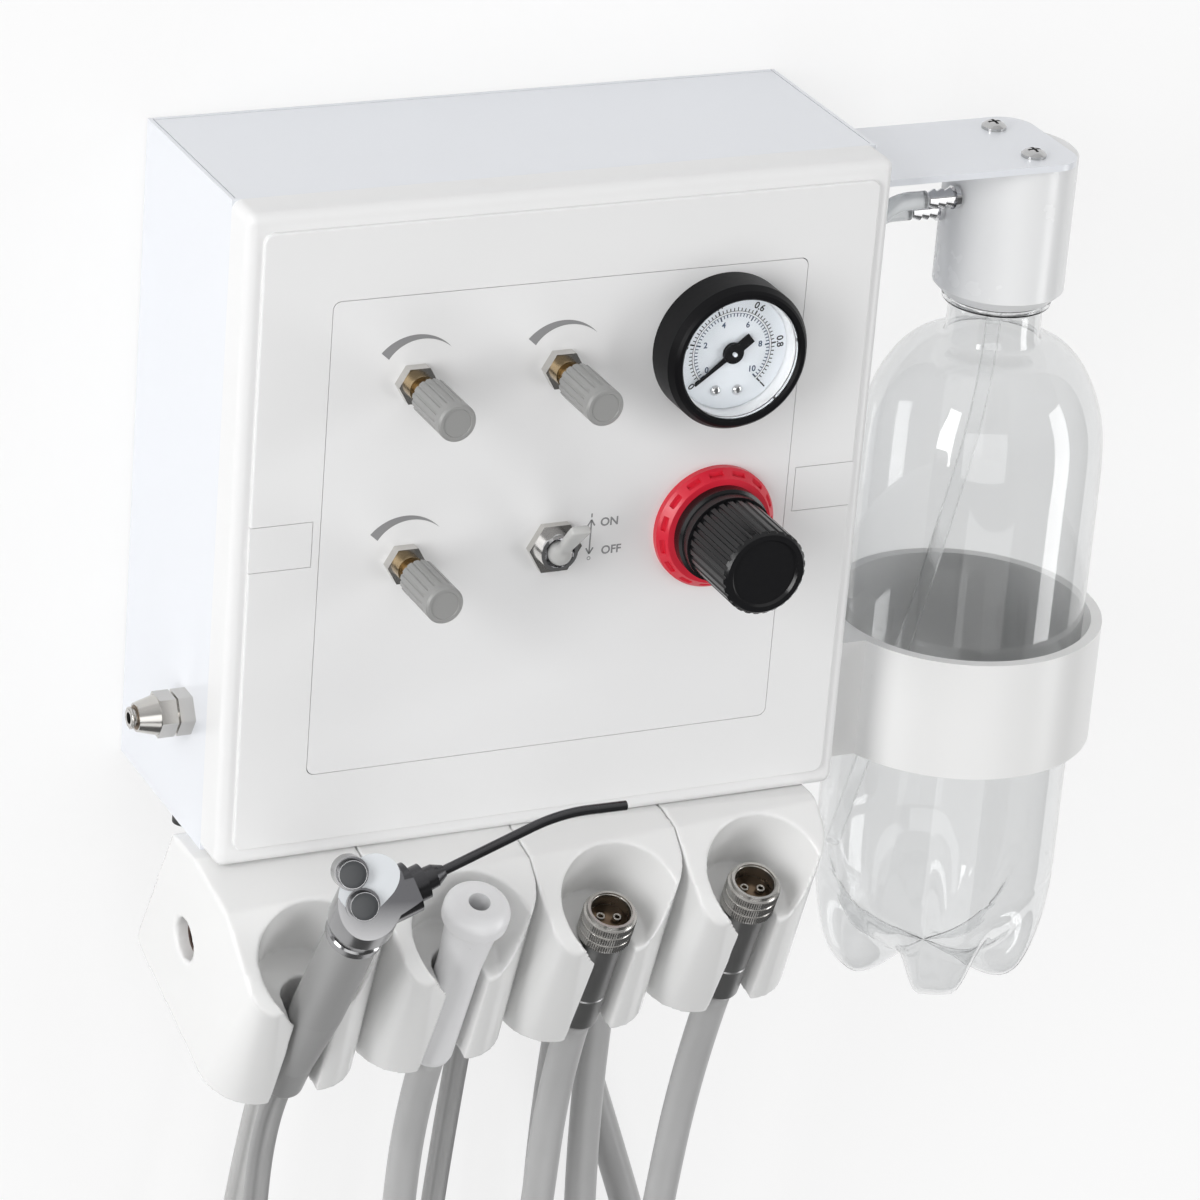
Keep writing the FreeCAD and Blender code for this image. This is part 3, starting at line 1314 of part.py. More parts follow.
def make_coupling(number):
    """Turbine coupling: sleeve on the hose, and the knurled nut on its top."""
    nut_bottom = seat_up + seam
    low = nut_bottom + nut_l - coupling_len
    y, z = along(socket_y, socket_z, socket_tilt, low)
    sleeve_l = coupling_len - nut_l
    sleeve = new_body("sleeve_%d" % number, holder_x(number), y, z, leaning(socket_tilt))
    neck = sleeve_r - 1.9
    revolve(sleeve, "sleeve_turned_%d" % number, [
        (0, 0), (sleeve_end_r, 0), (sleeve_r, 1), (sleeve_r, 13), (sleeve_r - 0.3, 13.4), (sleeve_r, 13.8),
        (sleeve_r, sleeve_l), (neck, sleeve_l), (neck, coupling_len - 5), (0, coupling_len - 5)])
    node(swung("sleeve_place_%d" % number, [sleeve]), "coupling_sleeve_%d" % number)
    nut = new_body("nut_%d" % number, holder_x(number), y, z, leaning(socket_tilt))
    inner = neck + running
    base = sleeve_l + running
    groove = 0.35
    revolve(nut, "nut_turned_%d" % number, [
        (inner, base), (nut_r - 0.4, base), (nut_r, base + 0.6), (nut_r, base + 3.2), (nut_r - groove, base + 3.5),
        (nut_r, base + 3.8), (nut_r, base + 6.6), (nut_r - groove, base + 6.9), (nut_r, base + 7.2),
        (nut_r, coupling_len - 1.6), (nut_r - 0.6, coupling_len - 1.2), (nut_r - 0.8, coupling_len),
        (nut_r - 1.6, coupling_len), (nut_r - 1.6, coupling_len - 5), (inner, coupling_len - 5)])
    node(swung("nut_place_%d" % number, [nut]), "coupling_nut_%d" % number)
    return holder_x(number), y, z, socket_tilt


def make_suction():
    """Suction handpiece: straight body with a soft collar for the tips."""
    number = 2
    body = new_body("suction", holder_x(number), suction_y, suction_z, leaning(suction_tilt))
    collar_low = suction_len - suction_collar_l
    revolve(body, "suction_turned", [
        (0, 0), (suction_r - 0.5, 0), (suction_r, 2), (suction_r, collar_low - suction_neck_l),
        (suction_neck_r, collar_low - 2),
        (suction_collar_r - 2, collar_low, 2), (suction_collar_r, collar_low + 2),
        (suction_collar_r, suction_len - 4, 4), (suction_collar_r - 4, suction_len), (suction_hole_r, suction_len),
        (suction_hole_r, suction_len - 22), (0, suction_len - 22)])
    node(swung("suction_place", [body]), "suction_handpiece")
    return holder_x(number), suction_y, suction_z, suction_tilt


def make_syringe():
    """Three-way syringe: grip, chrome head with an oblique face, two buttons and the nozzle."""
    x = holder_x(1)
    grip = new_body("grip", x, syringe_y, syringe_z, leaning(syringe_tilt))
    revolve(grip, "grip_turned", [
        (0, 0), (syringe_tail_r - 0.6, 0), (syringe_tail_r, 1.4), (syringe_tail_r, 14), (syringe_grip_r, 44),
        (syringe_grip_r, syringe_grip_l), (0, syringe_grip_l)])
    node(swung("grip_place", [grip]), "syringe_handle")
    y, z = along(syringe_y, syringe_z, syringe_tilt, syringe_grip_l)
    head = new_body("head_blank", x, y, z, leaning(syringe_tilt))
    tall = head_l + head_r
    revolve(head, "head_turned", [
        (0, 0), (head_ring_r, 0), (head_ring_r, 2.4), (head_ring_r - 0.5, 3), (head_r, 7), (head_r, tall),
        (0, tall)])
    face_y, face_z = along(syringe_y, syringe_z, syringe_tilt, syringe_grip_l + head_l)
    face_turn = face_rotation()
    above = box("face_cut", (80, 80, 60), turn=face_turn)
    corner = face_turn.multVec(Vector(-40, -40, 0))
    put(above, x + corner.x, face_y + corner.y, face_z + corner.z, face_turn)
    boss_y, boss_z = boss_point()
    boss = cylinder("boss", boss_r, boss_l, x, boss_y, boss_z, nozzle_rotation())
    solid = cut("head_faced", fuse("head_and_boss", [head, boss]), [above])
    bores = []
    rims = []
    for sign in (-1, 1):
        rims.append(button_cylinder("button_rim_%d" % (sign + 1), button_rim_r, 6, -5.2, sign))
        bores.append(button_cylinder("button_bore_%d" % (sign + 1), button_r + running, 6, -4, sign))
    bores.append(cylinder("nozzle_bore", 3 + running, 6, *boss_end(-4), nozzle_rotation()))
    whole = fuse("head_rimmed", [solid] + rims)
    node(swung("head_place", [cut("head_bored", whole, bores)]), "syringe_head")
    for sign, label in ((1, "syringe_button_air"), (-1, "syringe_button_water")):
        button = button_cylinder(label + "_pin", button_r, button_out + 4 - button_travel,
                                 button_travel - 4, sign)
        node(swung(label + "_place", [button]), label)
    make_nozzle()
    return x, syringe_y, syringe_z, syringe_tilt


def face_rotation():
    """Frame of the oblique face: its local z is the outward normal."""
    lean = leaning(syringe_tilt + plate_lean)
    return Rotation(Vector(0, 0, 1), -num(plate_turn)).multiply(lean)


def button_cylinder(name, radius, length, start, sign):
    """Round pin on the oblique face; the two stand one above the other near its left side."""
    y, z = along(syringe_y, syringe_z, syringe_tilt, syringe_grip_l + head_l)
    turn = face_rotation()
    across = num(button_side) - sign * num(button_slant)
    place = turn.multVec(Vector(across, 2.5 + sign * num(button_spread), num(start)))
    return cylinder(name, radius, length, holder_x(1) + place.x, y + place.y, z + place.z, turn)


def boss_point():
    return along(syringe_y, syringe_z, syringe_tilt, syringe_grip_l + 13.5)


def nozzle_rotation():
    """Local z along the boss: to the right and a little up."""
    rise = math.radians(num(nozzle_rise))
    ahead = Vector(math.cos(rise), 0, math.sin(rise))
    return Rotation(Vector(0, 1, 0), Vector(), ahead, "ZXY")


def boss_end(further):
    """Point on the boss axis, measured from the boss's end face."""
    y, z = boss_point()
    ahead = nozzle_rotation().multVec(Vector(0, 0, 1))
    reach = boss_l + further
    return holder_x(1) + reach * ahead.x, y, z + reach * ahead.z


def make_nozzle():
    """Nozzle with its collar and cone, turning in the boss."""
    x, y, z = boss_end(0)
    seat = new_body("nozzle_nut", x, y, z, nozzle_rotation())
    revolve(seat, "nozzle_nut_turned", [
        (0, -3.8), (3, -3.8), (3, running), (5.3, running), (5.3, 4), (3.6, 4.2), (3.4, 7.5),
        (1.8, 10.5), (0, 10.5)])
    start = Vector(*[num(c) for c in boss_end(9.5)])
    ahead = nozzle_rotation().multVec(Vector(0, 0, 1))
    bend = start + ahead * (num(nozzle_l) - 10)
    tip_drop = math.radians(-4)
    tip = bend + Vector(math.cos(tip_drop), 0, math.sin(tip_drop)) * num(nozzle_tip_l)
    pipe = tube("nozzle_pipe", [(p.x, p.y, p.z) for p in (start, bend, tip)], nozzle_r)
    node(swung("nozzle_place", [fuse("nozzle_whole", [seat, pipe])]), "syringe_nozzle")


# ---------------------------------------------------------------- hoses

def make_glands():
    """Hose glands under the floor of the case, and the small foot at its left."""
    glands = []
    for name, x in gland_x.items():
        bore = twin_hose_r if name in ("foot", "syringe") else hose_r
        gland = new_body("gland_" + name, x, -gland_back, case_low, DOWN)
        revolve(gland, "gland_turned_" + name, [
            (bore - 1, -sheet_t - 2), (gland_r - 2, -sheet_t - 2), (gland_r - 2, 0), (gland_r - 1, 0),
            (gland_r - 1, 3), (bore + 1.4, gland_l), (bore - 1, gland_l)])
        glands.append(gland)
    node(group("gland_set", glands), "hose_glands")
    foot = cylinder("foot_button", 4, 5, 6 - case_w / 2, -40, case_low, DOWN)
    node(foot, "case_foot")


def hose_start(end, length):
    """Two points that leave an instrument's lower end along its axis."""
    x, y, z, tilt = end
    low_y, low_z = along(y, z, tilt, -length)
    return [row_point(x, y, z), row_point(x, low_y, low_z)]


def gland_mouth(name):
    return gland_x[name], -gland_back, case_low - gland_l


def u_bend(near, far, level):
    """Four points of a half turn between two upright legs, given by their x, y and lower end."""
    across = Vector(far[0] - near[0], far[1] - near[1], 0)
    share = math.sqrt(0.5) / (1 + math.sqrt(2))
    drop = share * across.Length
    stops = ((0, 0), (share, drop), (1 - share, drop), (1, 0))
    return [(near[0] + s * across.x, near[1] + s * across.y, level - down) for s, down in stops]


def make_hoses(ends):
    routes = {
        "hose_syringe": (hose_start(ends["syringe"], 22)
                         + [(-76.5, -66, -235), (-75, -62, -300), (-73, -58, -370)]
                         + u_bend((-72, -57), (-4, -20), -408)
                         + [(-2, -19.5, -370), (3, -18, -300), (9, -16.5, -235), (17, -15, -172)],
                         "syringe", twin_hose_r),
        "hose_suction": (hose_start(ends["suction"], 30)
                         + [(-27, -62, -250), (-29, -57, -330), (-30, -56, -410)]
                         + u_bend((-29, -58), (43, -20), -458)
                         + [(41.5, -21.5, -410), (40, -24, -325), (38.5, -26, -240), (47.5, -21, -174),
                            (48, -15, -143)],
                         "suction", hose_r),
        "hose_coupling_3": (hose_start(ends["coupling_3"], 30)
                            + [(20, -63, -250), (16, -60, -345), (12, -60, -440)]
                            + u_bend((10, -59), (70, -18), -495)
                            + [(69, -18, -440), (60.5, -20, -345), (54.5, -22, -250), (59, -19, -182),
                               (63, -15, -145)],
                            "coupling_3", hose_r),
        "hose_coupling_4": (hose_start(ends["coupling_4"], 38)
                            + [(67, -54, -262), (61, -49, -370), (57, -48, -480)]
                            + u_bend((57, -48), (128, -19), -538)
                            + [(127, -17, -480), (110, -12, -380), (79.5, -8, -285), (49, -8, -200),
                               (33, -15, -143)],
                            "coupling_4", hose_r),
    }
    for name, (points, gland, radius) in routes.items():
        points.append(gland_mouth(gland))
        node(tube(name, points, radius), name)
    foot = [gland_mouth("foot"), (-40, -15, -145), (-50, -16.5, -190), (-62, -19, -245), (-72, -20, -330),
            (-79, -19, -420), (-83, -20, -510), (-85, -19, -596)]
    node(tube("hose_foot", foot, twin_hose_r), "hose_foot")


# ---------------------------------------------------------------- build

make_case_shell()
make_top_panel()
make_back_panel()
make_front_bezel()
make_panel_tabs()
make_control_panel()
make_flow_valves()
make_toggle()
make_gauge()
make_regulator()
make_inlet()
make_bracket()
make_screws()
make_cap()
make_bottle()
make_bottle_ring()
make_bottle_tubes()
make_holders()
instrument_ends = {
    "syringe": make_syringe(),
    "suction": make_suction(),
    "coupling_3": make_coupling(3),
    "coupling_4": make_coupling(4),
}
make_glands()
make_hoses(instrument_ends)

doc.recompute()
faults = [obj.Name for obj in doc.Objects if "Invalid" in obj.State or "Error" in obj.State]
for obj in nodes:
    if obj.Shape.isNull() or not obj.Shape.isValid() or not obj.Shape.Solids:
        faults.append(obj.Label)
if faults:
    raise RuntimeError("faulty objects: %s" % ", ".join(faults))

os.makedirs("parts", exist_ok=True)
for obj in nodes:
    obj.Shape.exportStep("parts/%s.step" % obj.Label)
print("%d parts" % len(nodes))
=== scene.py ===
# %% [markdown]
# # A hanging dental unit
# The unit is a folded steel case with a moulded front, a clear water bottle at its right and four moulded
# instrument holders under it, with the hoses that hang from them.
# The solids come in already built and already in place.  This script gives them their finishes, adds what is
# too fine for solids, such as the print on the gauge, and sets the camera and the light.

# %% Load the solids
import math

import bmesh
import bpy
from mathutils import Matrix, Vector


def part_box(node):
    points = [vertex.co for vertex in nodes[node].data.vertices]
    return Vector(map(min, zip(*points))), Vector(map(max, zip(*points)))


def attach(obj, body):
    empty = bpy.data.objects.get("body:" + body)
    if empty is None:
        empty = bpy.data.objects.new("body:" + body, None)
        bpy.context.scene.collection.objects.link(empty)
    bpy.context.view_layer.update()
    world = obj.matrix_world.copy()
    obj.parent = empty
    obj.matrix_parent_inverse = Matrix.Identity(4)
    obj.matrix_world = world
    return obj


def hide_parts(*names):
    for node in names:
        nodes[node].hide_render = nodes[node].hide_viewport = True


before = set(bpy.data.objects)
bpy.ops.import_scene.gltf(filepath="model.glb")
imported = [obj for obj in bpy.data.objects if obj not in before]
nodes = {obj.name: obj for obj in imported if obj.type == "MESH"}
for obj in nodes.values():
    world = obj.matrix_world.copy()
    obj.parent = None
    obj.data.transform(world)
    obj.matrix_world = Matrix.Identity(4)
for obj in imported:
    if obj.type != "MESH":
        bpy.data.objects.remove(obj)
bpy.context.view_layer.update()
scene = bpy.context.scene

# %% [markdown]
# ## Camera
# A long lens flattens the perspective, so the case looks nearly like a drawing.  The camera stands to the left,
# in front and above.  Its place and turn are set once, and everything else is placed in the unit's own frame:
# x to the right, y into the wall, z up, in metres, with the origin on the wall behind the case.


# %% Camera
def new_object(name, data):
    """An object with its data, in the scene."""
    obj = bpy.data.objects.new(name, data)
    scene.collection.objects.link(obj)
    return obj


camera_data = bpy.data.cameras.new("camera")
camera_data.sensor_width = 36.0
camera_data.lens = 161.46
camera_data.clip_end = 20.0
camera = new_object("camera", camera_data)
camera.location = (-0.62114, -1.36158, 0.62218)
camera.rotation_euler = [math.radians(a) for a in (65.4565, -4.2831, -24.5035)]
scene.camera = camera
print("camera", [round(v, 3) for v in camera.location])

# %% [markdown]
# ## Hoses
# A hose is a length of something flexible.  It leaves the instrument along the handle, hangs down, turns at the
# bottom of its loop and comes back up to its gland under the case.  A NURBS curve of order 3 with a few
# control points bends as softly as a hose does.  The points are those of the hose's solid.
# Two of the hoses are twin hoses: two thin tubes moulded side by side, so their section is an eight.

# %% Routes of the hoses
HOSE_RADIUS = 0.0051
TWIN_RADIUS = 0.0019
ROUTES = {
    "syringe": [
        (-0.0769, -0.0838, -0.1732), (-0.0769, -0.0721, -0.1919), (-0.0765, -0.066, -0.235),
        (-0.075, -0.062, -0.300), (-0.073, -0.058, -0.370), (-0.072, -0.057, -0.408),
        (-0.0521, -0.0462, -0.4307), (-0.0239, -0.0308, -0.4307), (-0.004, -0.020, -0.408),
        (-0.002, -0.0195, -0.370), (0.003, -0.018, -0.300), (0.009, -0.0165, -0.235),
        (0.017, -0.015, -0.172), (0.017, -0.015, -0.1118)],
    "suction": [
        (-0.0284, -0.0812, -0.1722), (-0.0281, -0.0693, -0.1997), (-0.027, -0.062, -0.250),
        (-0.029, -0.057, -0.330), (-0.030, -0.056, -0.410), (-0.029, -0.058, -0.458),
        (-0.0079, -0.0469, -0.4818), (0.0219, -0.0311, -0.4818), (0.043, -0.020, -0.458),
        (0.0415, -0.0215, -0.410), (0.040, -0.024, -0.325), (0.0385, -0.026, -0.240),
        (0.0475, -0.021, -0.174), (0.048, -0.015, -0.143), (0.048, -0.015, -0.1118)],
    "coupling_3": [
        (0.0201, -0.0797, -0.1683), (0.0204, -0.0683, -0.1961), (0.020, -0.063, -0.250), (0.016, -0.060, -0.345),
        (0.012, -0.060, -0.440), (0.010, -0.059, -0.495), (0.0276, -0.047, -0.5163), (0.0524, -0.030, -0.5163),
        (0.070, -0.018, -0.495), (0.069, -0.018, -0.440), (0.0605, -0.020, -0.345), (0.0545, -0.022, -0.250),
        (0.059, -0.019, -0.182), (0.063, -0.015, -0.145), (0.063, -0.015, -0.1118)],
    "coupling_4": [
        (0.0686, -0.0776, -0.167), (0.069, -0.0631, -0.2021), (0.067, -0.054, -0.262), (0.061, -0.049, -0.370),
        (0.057, -0.048, -0.480), (0.057, -0.048, -0.538), (0.0778, -0.0395, -0.5605), (0.1072, -0.0275, -0.5605),
        (0.128, -0.019, -0.538), (0.127, -0.017, -0.480), (0.110, -0.012, -0.380), (0.0795, -0.008, -0.285),
        (0.049, -0.008, -0.200), (0.033, -0.015, -0.143), (0.033, -0.015, -0.1118)],
    "foot": [
        (-0.040, -0.015, -0.1118), (-0.040, -0.015, -0.145), (-0.050, -0.0165, -0.190), (-0.062, -0.019, -0.245),
        (-0.072, -0.020, -0.330), (-0.079, -0.019, -0.420), (-0.083, -0.020, -0.510), (-0.085, -0.019, -0.596)],
}
print({name: len(points) for name, points in ROUTES.items()})


# %% A curve through a hose's control points
def route_curve(name, points):
    """NURBS curve of order 3 that starts and ends on its first and last points."""
    data = bpy.data.curves.new(name, "CURVE")
    data.dimensions = "3D"
    data.resolution_u = 12
    spline = data.splines.new("NURBS")
    spline.points.add(len(points) - 1)
    for slot, point in zip(spline.points, points):
        slot.co = (*point, 1.0)
    spline.order_u = 3
    spline.use_endpoint_u = True
    return new_object(name, data)


def evaluated_mesh(obj):
    """The mesh of an object as its modifiers leave it, or of a curve or a text as it is drawn."""
    graph = bpy.context.evaluated_depsgraph_get()
    return bpy.data.meshes.new_from_object(obj.evaluated_get(graph))


def length_of(points):
    return sum((b - a).length for a, b in zip(points, points[1:]))


print(len(ROUTES), "routes, the longest with", max(map(len, ROUTES.values())), "points")


# %% Sweep a section along a line
def mesh_object(name, mesh, smooth=True):
    """Turn a bmesh into a finished object at the origin."""
    bmesh.ops.recalc_face_normals(mesh, faces=mesh.faces)
    data = bpy.data.meshes.new(name)
    mesh.to_mesh(data)
    mesh.free()
    for face in data.polygons:
        face.use_smooth = smooth
    return new_object(name, data)


def join_rings(mesh, rings):
    """Faces between each ring of vertices and the next, with doubled corners left out."""
    for ring, following in zip(rings, rings[1:]):
        for i in range(len(ring)):
            j = (i + 1) % len(ring)
            mesh.faces.new(list(dict.fromkeys((ring[i], ring[j], following[j], following[i]))))


def sweep(name, line, section, across):
    """Mesh tube: the section carried along the line, its first axis as near as can be to across."""
    mesh = bmesh.new()
    rings = []
    across = Vector(across)
    for i, point in enumerate(line):
        ahead = (line[min(i + 1, len(line) - 1)] - line[max(i - 1, 0)]).normalized()
        side = (across - ahead * across.dot(ahead)).normalized()
        up = ahead.cross(side)
        rings.append([mesh.verts.new(point + side * a + up * b) for a, b in section])
    join_rings(mesh, rings)
    mesh.faces.new(list(reversed(rings[0])))
    mesh.faces.new(rings[-1])
    return mesh_object(name, mesh)


def twin_section(radius, steps=14, half_open=142):
    """Two circles side by side with a thin web between them; each is open where the web meets it."""
    half = []
    for i in range(steps + 1):
        angle = math.radians(-half_open + 2 * half_open * i / steps)
        half.append((radius + radius * math.cos(angle), radius * math.sin(angle)))
    return half + [(-x, -y) for x, y in half]


def circle(steps):
    """Points of a circle of radius 1, from the first axis on."""
    return [(math.cos(math.tau * i / steps), math.sin(math.tau * i / steps)) for i in range(steps)]


def round_section(radius, steps=28):
    return [(radius * c, radius * s) for c, s in circle(steps)]


print("sections of", len(round_section(HOSE_RADIUS)), "and", len(twin_section(TWIN_RADIUS)), "points")

# %% Make the hoses
FLAT_WAY = (0.91, -0.415, 0.0)
hoses = {}
for name, points in ROUTES.items():
    guide = route_curve("guide_" + name, points)
    line = [v.co.copy() for v in evaluated_mesh(guide).vertices]
    bpy.data.objects.remove(guide)
    twin = name in ("syringe", "foot")
    section = twin_section(TWIN_RADIUS) if twin else round_section(HOSE_RADIUS)
    hose = sweep("hose_%s_skin" % name, line, section, FLAT_WAY)
    hoses[name] = hose
    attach(hose, "unit")
    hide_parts("hose_" + name)
    "hose_light" if name == "foot" else "hose_grey"
    length_of(line)
    "bare" if name == "foot" else "object"
    print(name, "hose", round(length_of(line), 3), "m")

# %% [markdown]
# ## Finishes
# Each finish is a small tree of shader nodes.  To keep the maths readable, a socket is wrapped in a class, so
# that `1 - mask` or `height * 0.2` adds the right Math node by itself.


# %% Sockets that sums and products work on
class Link:
    """One output socket; sums, products and shares of it add Math nodes."""

    def __init__(self, tree, socket):
        self.tree = tree
        self.socket = socket

    def math(self, operation, other=0.0, swap=False):
        node = self.tree.nodes.new("ShaderNodeMath")
        node.operation = operation
        pair = (other, self) if swap else (self, other)
        for target, value in zip(node.inputs, pair):
            plug(self.tree, target, value)
        return Link(self.tree, node.outputs[0])

    def __add__(self, other):
        return self.math("ADD", other)

    __radd__ = __add__

    def __sub__(self, other):
        return self.math("SUBTRACT", other)

    def __rsub__(self, other):
        return self.math("SUBTRACT", other, True)

    def __mul__(self, other):
        return self.math("MULTIPLY", other)

    __rmul__ = __mul__

    def __truediv__(self, other):
        return self.math("DIVIDE", other)

    def __rtruediv__(self, other):
        return self.math("DIVIDE", other, True)


def plug(tree, target, value):
    """Link a Link, or set a plain value."""
    if isinstance(value, Link):
        tree.links.new(value.socket, target)
    elif isinstance(value, (tuple, list)) and len(value) == 3 and target.type == "RGBA":
        target.default_value = (*value, 1.0)
    else:
        target.default_value = value


print("a socket takes +, -, * and /")


# %% A node tree, and a finish: one material and its shader
class Tree:
    """A node tree with one method for all nodes but those of its maths."""

    def __init__(self, tree):
        self.tree = tree

    def node(self, kind, settings=None, inputs=None, out=0):
        """Any node: its type, its settings, such as a ramp's stops, and the values or links of its sockets."""
        made = self.tree.nodes.new(kind)
        for key, value in (settings or {}).items():
            if key == "stops":
                for place, _ in value[1:-1]:
                    made.color_ramp.elements.new(place)
                for stop, (place, colour) in zip(made.color_ramp.elements, value):
                    stop.position = place
                    stop.color = (*colour, 1.0)
            else:
                setattr(made, key, value)
        for key, value in (inputs or {}).items():
            plug(self.tree, made.inputs[key], value)
        return Link(self.tree, made.outputs[out])


class Finish(Tree):
    """A Principled material.  Uniform values are set on the shader's own sockets."""

    def __init__(self, name, colour, roughness, **uniform):
        self.material = bpy.data.materials.new(name)
        self.material.use_nodes = True
        super().__init__(self.material.node_tree)
        self.shader = self.tree.nodes["Principled BSDF"]
        self.set("Base Color", colour)
        self.set("Roughness", roughness)
        for socket, value in uniform.items():
            self.set(socket.replace("_", " "), value)

    def set(self, socket, value):
        plug(self.tree, self.shader.inputs[socket], value)

    def place(self):
        return self.node("ShaderNodeTexCoord", out=3)

    def noise(self, scale, detail=3.0):
        return self.node("ShaderNodeTexNoise", None, {"Vector": self.place(), "Scale": scale, "Detail": detail})

    def mix(self, factor, first, second):
        return self.node("ShaderNodeMix", {"data_type": "RGBA"}, {0: factor, 6: first, 7: second}, 2)

    def bump(self, height, distance, strength=1.0):
        bump = self.node("ShaderNodeBump", None, {"Height": height, "Distance": distance, "Strength": strength})
        self.set("Normal", bump)


def shade_of(colour, factor):
    return tuple(min(1.0, c * factor) for c in colour)


print("finish helpers ready")

# %% [markdown]
# ### Paint and moulded plastic
# Both are pale and nearly even.  What tells them apart is small: paint has a faint orange peel and a soft gloss,
# a moulded cover has a fine matt grain, and a moulded holder is glossy with a slow waviness.


# %% Paint and plastic
def powder_paint(name, colour, roughness):
    """Sprayed steel: a faint orange peel under a soft gloss."""
    finish = Finish(name, colour, roughness, Coat_Weight=0.25, Coat_Roughness=0.12)
    broad = finish.noise(9.0, 2.0)
    finish.set("Base Color", finish.mix(broad, shade_of(colour, 0.985), shade_of(colour, 1.01)))
    finish.set("Roughness", broad * 0.08 + (roughness - 0.04))
    finish.bump(finish.noise(1400.0, 2.0), 0.00002, 0.35)
    return finish.material


def moulded(name, colour, roughness, grain, depth, tint=0.97, gloss=0.5):
    """Moulded plastic with a grain of so many waves per metre."""
    finish = Finish(name, colour, roughness, Specular_IOR_Level=gloss)
    broad = finish.noise(22.0, 2.0)
    finish.set("Base Color", finish.mix(broad, shade_of(colour, tint), colour))
    finish.set("Roughness", finish.noise(grain * 0.3) * 0.1 + (roughness - 0.05))
    finish.bump(finish.noise(grain), depth, 0.5)
    return finish.material


case_paint = powder_paint("case_paint", (0.80, 0.82, 0.86), 0.32)
bezel_plastic = moulded("bezel_plastic", (0.84, 0.84, 0.84), 0.38, 2600.0, 0.00001)
panel_plastic = moulded("panel_plastic", (0.84, 0.84, 0.842), 0.36, 2600.0, 0.00001)
holder_plastic = moulded("holder_plastic", (0.84, 0.84, 0.835), 0.16, 240.0, 0.000015)
cap_plastic = moulded("cap_plastic", (0.84, 0.845, 0.85), 0.26, 300.0, 0.00001)
ring_plastic = moulded("ring_plastic", (0.84, 0.84, 0.835), 0.3, 1500.0, 0.00001)
suction_plastic = moulded("suction_plastic", (0.86, 0.86, 0.87), 0.3, 900.0, 0.00001)
knob_grey = moulded("knob_grey", (0.30, 0.30, 0.295), 0.36, 2400.0, 0.00002)
knob_black = moulded("knob_black", (0.008, 0.008, 0.009), 0.22, 1800.0, 0.00002, tint=0.8, gloss=0.4)
lever_plastic = moulded("lever_plastic", (0.52, 0.52, 0.51), 0.2, 900.0, 0.00001)
ring_red = moulded("ring_red", (0.72, 0.02, 0.045), 0.32, 1500.0, 0.00002, tint=0.9)
gauge_black = moulded("gauge_black", (0.006, 0.006, 0.007), 0.4, 2200.0, 0.00001, tint=0.8, gloss=0.12)
handle_grey = moulded("handle_grey", (0.30, 0.30, 0.30), 0.3, 1900.0, 0.00001)
button_grey = moulded("button_grey", (0.055, 0.058, 0.062), 0.3, 1500.0, 0.00002, tint=0.8)
print("paint and plastic made")

# %% [markdown]
# ### Rubber and hose
# Hose is soft PVC: mid grey, with a broad soft highlight and slightly dusty.


# %% Rubber and hose
def soft_hose(name, colour, roughness):
    """Soft PVC or rubber with a little dust on it."""
    finish = Finish(name, colour, roughness, Sheen_Weight=0.1)
    dust = finish.noise(60.0, 4.0)
    finish.set("Base Color", finish.mix(dust, shade_of(colour, 0.93), shade_of(colour, 1.05)))
    finish.set("Roughness", dust * 0.12 + (roughness - 0.06))
    finish.bump(finish.noise(900.0, 2.0), 0.00003, 0.4)
    return finish.material


hose_grey = soft_hose("hose_grey", (0.33, 0.33, 0.33), 0.36)
hose_pale = soft_hose("hose_pale", (0.44, 0.44, 0.44), 0.36)
hose_light = soft_hose("hose_light", (0.50, 0.50, 0.495), 0.42)
rubber_black = soft_hose("rubber_black", (0.02, 0.02, 0.02), 0.6)
print("hose made")

# %% [markdown]
# ### Metals
# Nickel plate is a mirror with a little haze.  Brass is turned and so has fine rings, and the couplings are
# turned too and have darker sleeves.  The ribs of their knurled nuts are geometry and come later.
# The syringe head is polished, so its colour falls off to its right: a painted reflection of a dark room on that
# side.


# %% Metals
def plated(name, colour, roughness):
    """Plated or polished metal with a little haze."""
    finish = Finish(name, colour, roughness, Metallic=1.0)
    haze = finish.noise(130.0)
    finish.set("Roughness", haze * 0.12 + (roughness - 0.05))
    finish.set("Base Color", finish.mix(haze, shade_of(colour, 0.92), colour))
    finish.bump(finish.noise(500.0, 2.0), 0.00001, 0.3)
    return finish.material


def turned(name, colour, roughness, pitch, axis, depth=0.00001):
    """Turned metal with fine tool rings along an axis of the piece."""
    finish = Finish(name, colour, roughness, Metallic=1.0)
    along = finish.node("ShaderNodeVectorMath", {"operation": "DOT_PRODUCT"},
                        {0: finish.place(), 1: Vector(axis).normalized()}, 1)
    rings = (along * (math.tau / pitch)).math("SINE")
    finish.set("Roughness", finish.noise(300.0) * 0.12 + (roughness - 0.05))
    finish.set("Base Color", finish.mix(finish.noise(90.0), shade_of(colour, 0.85), colour))
    finish.bump(rings, depth, 0.5)
    return finish.material


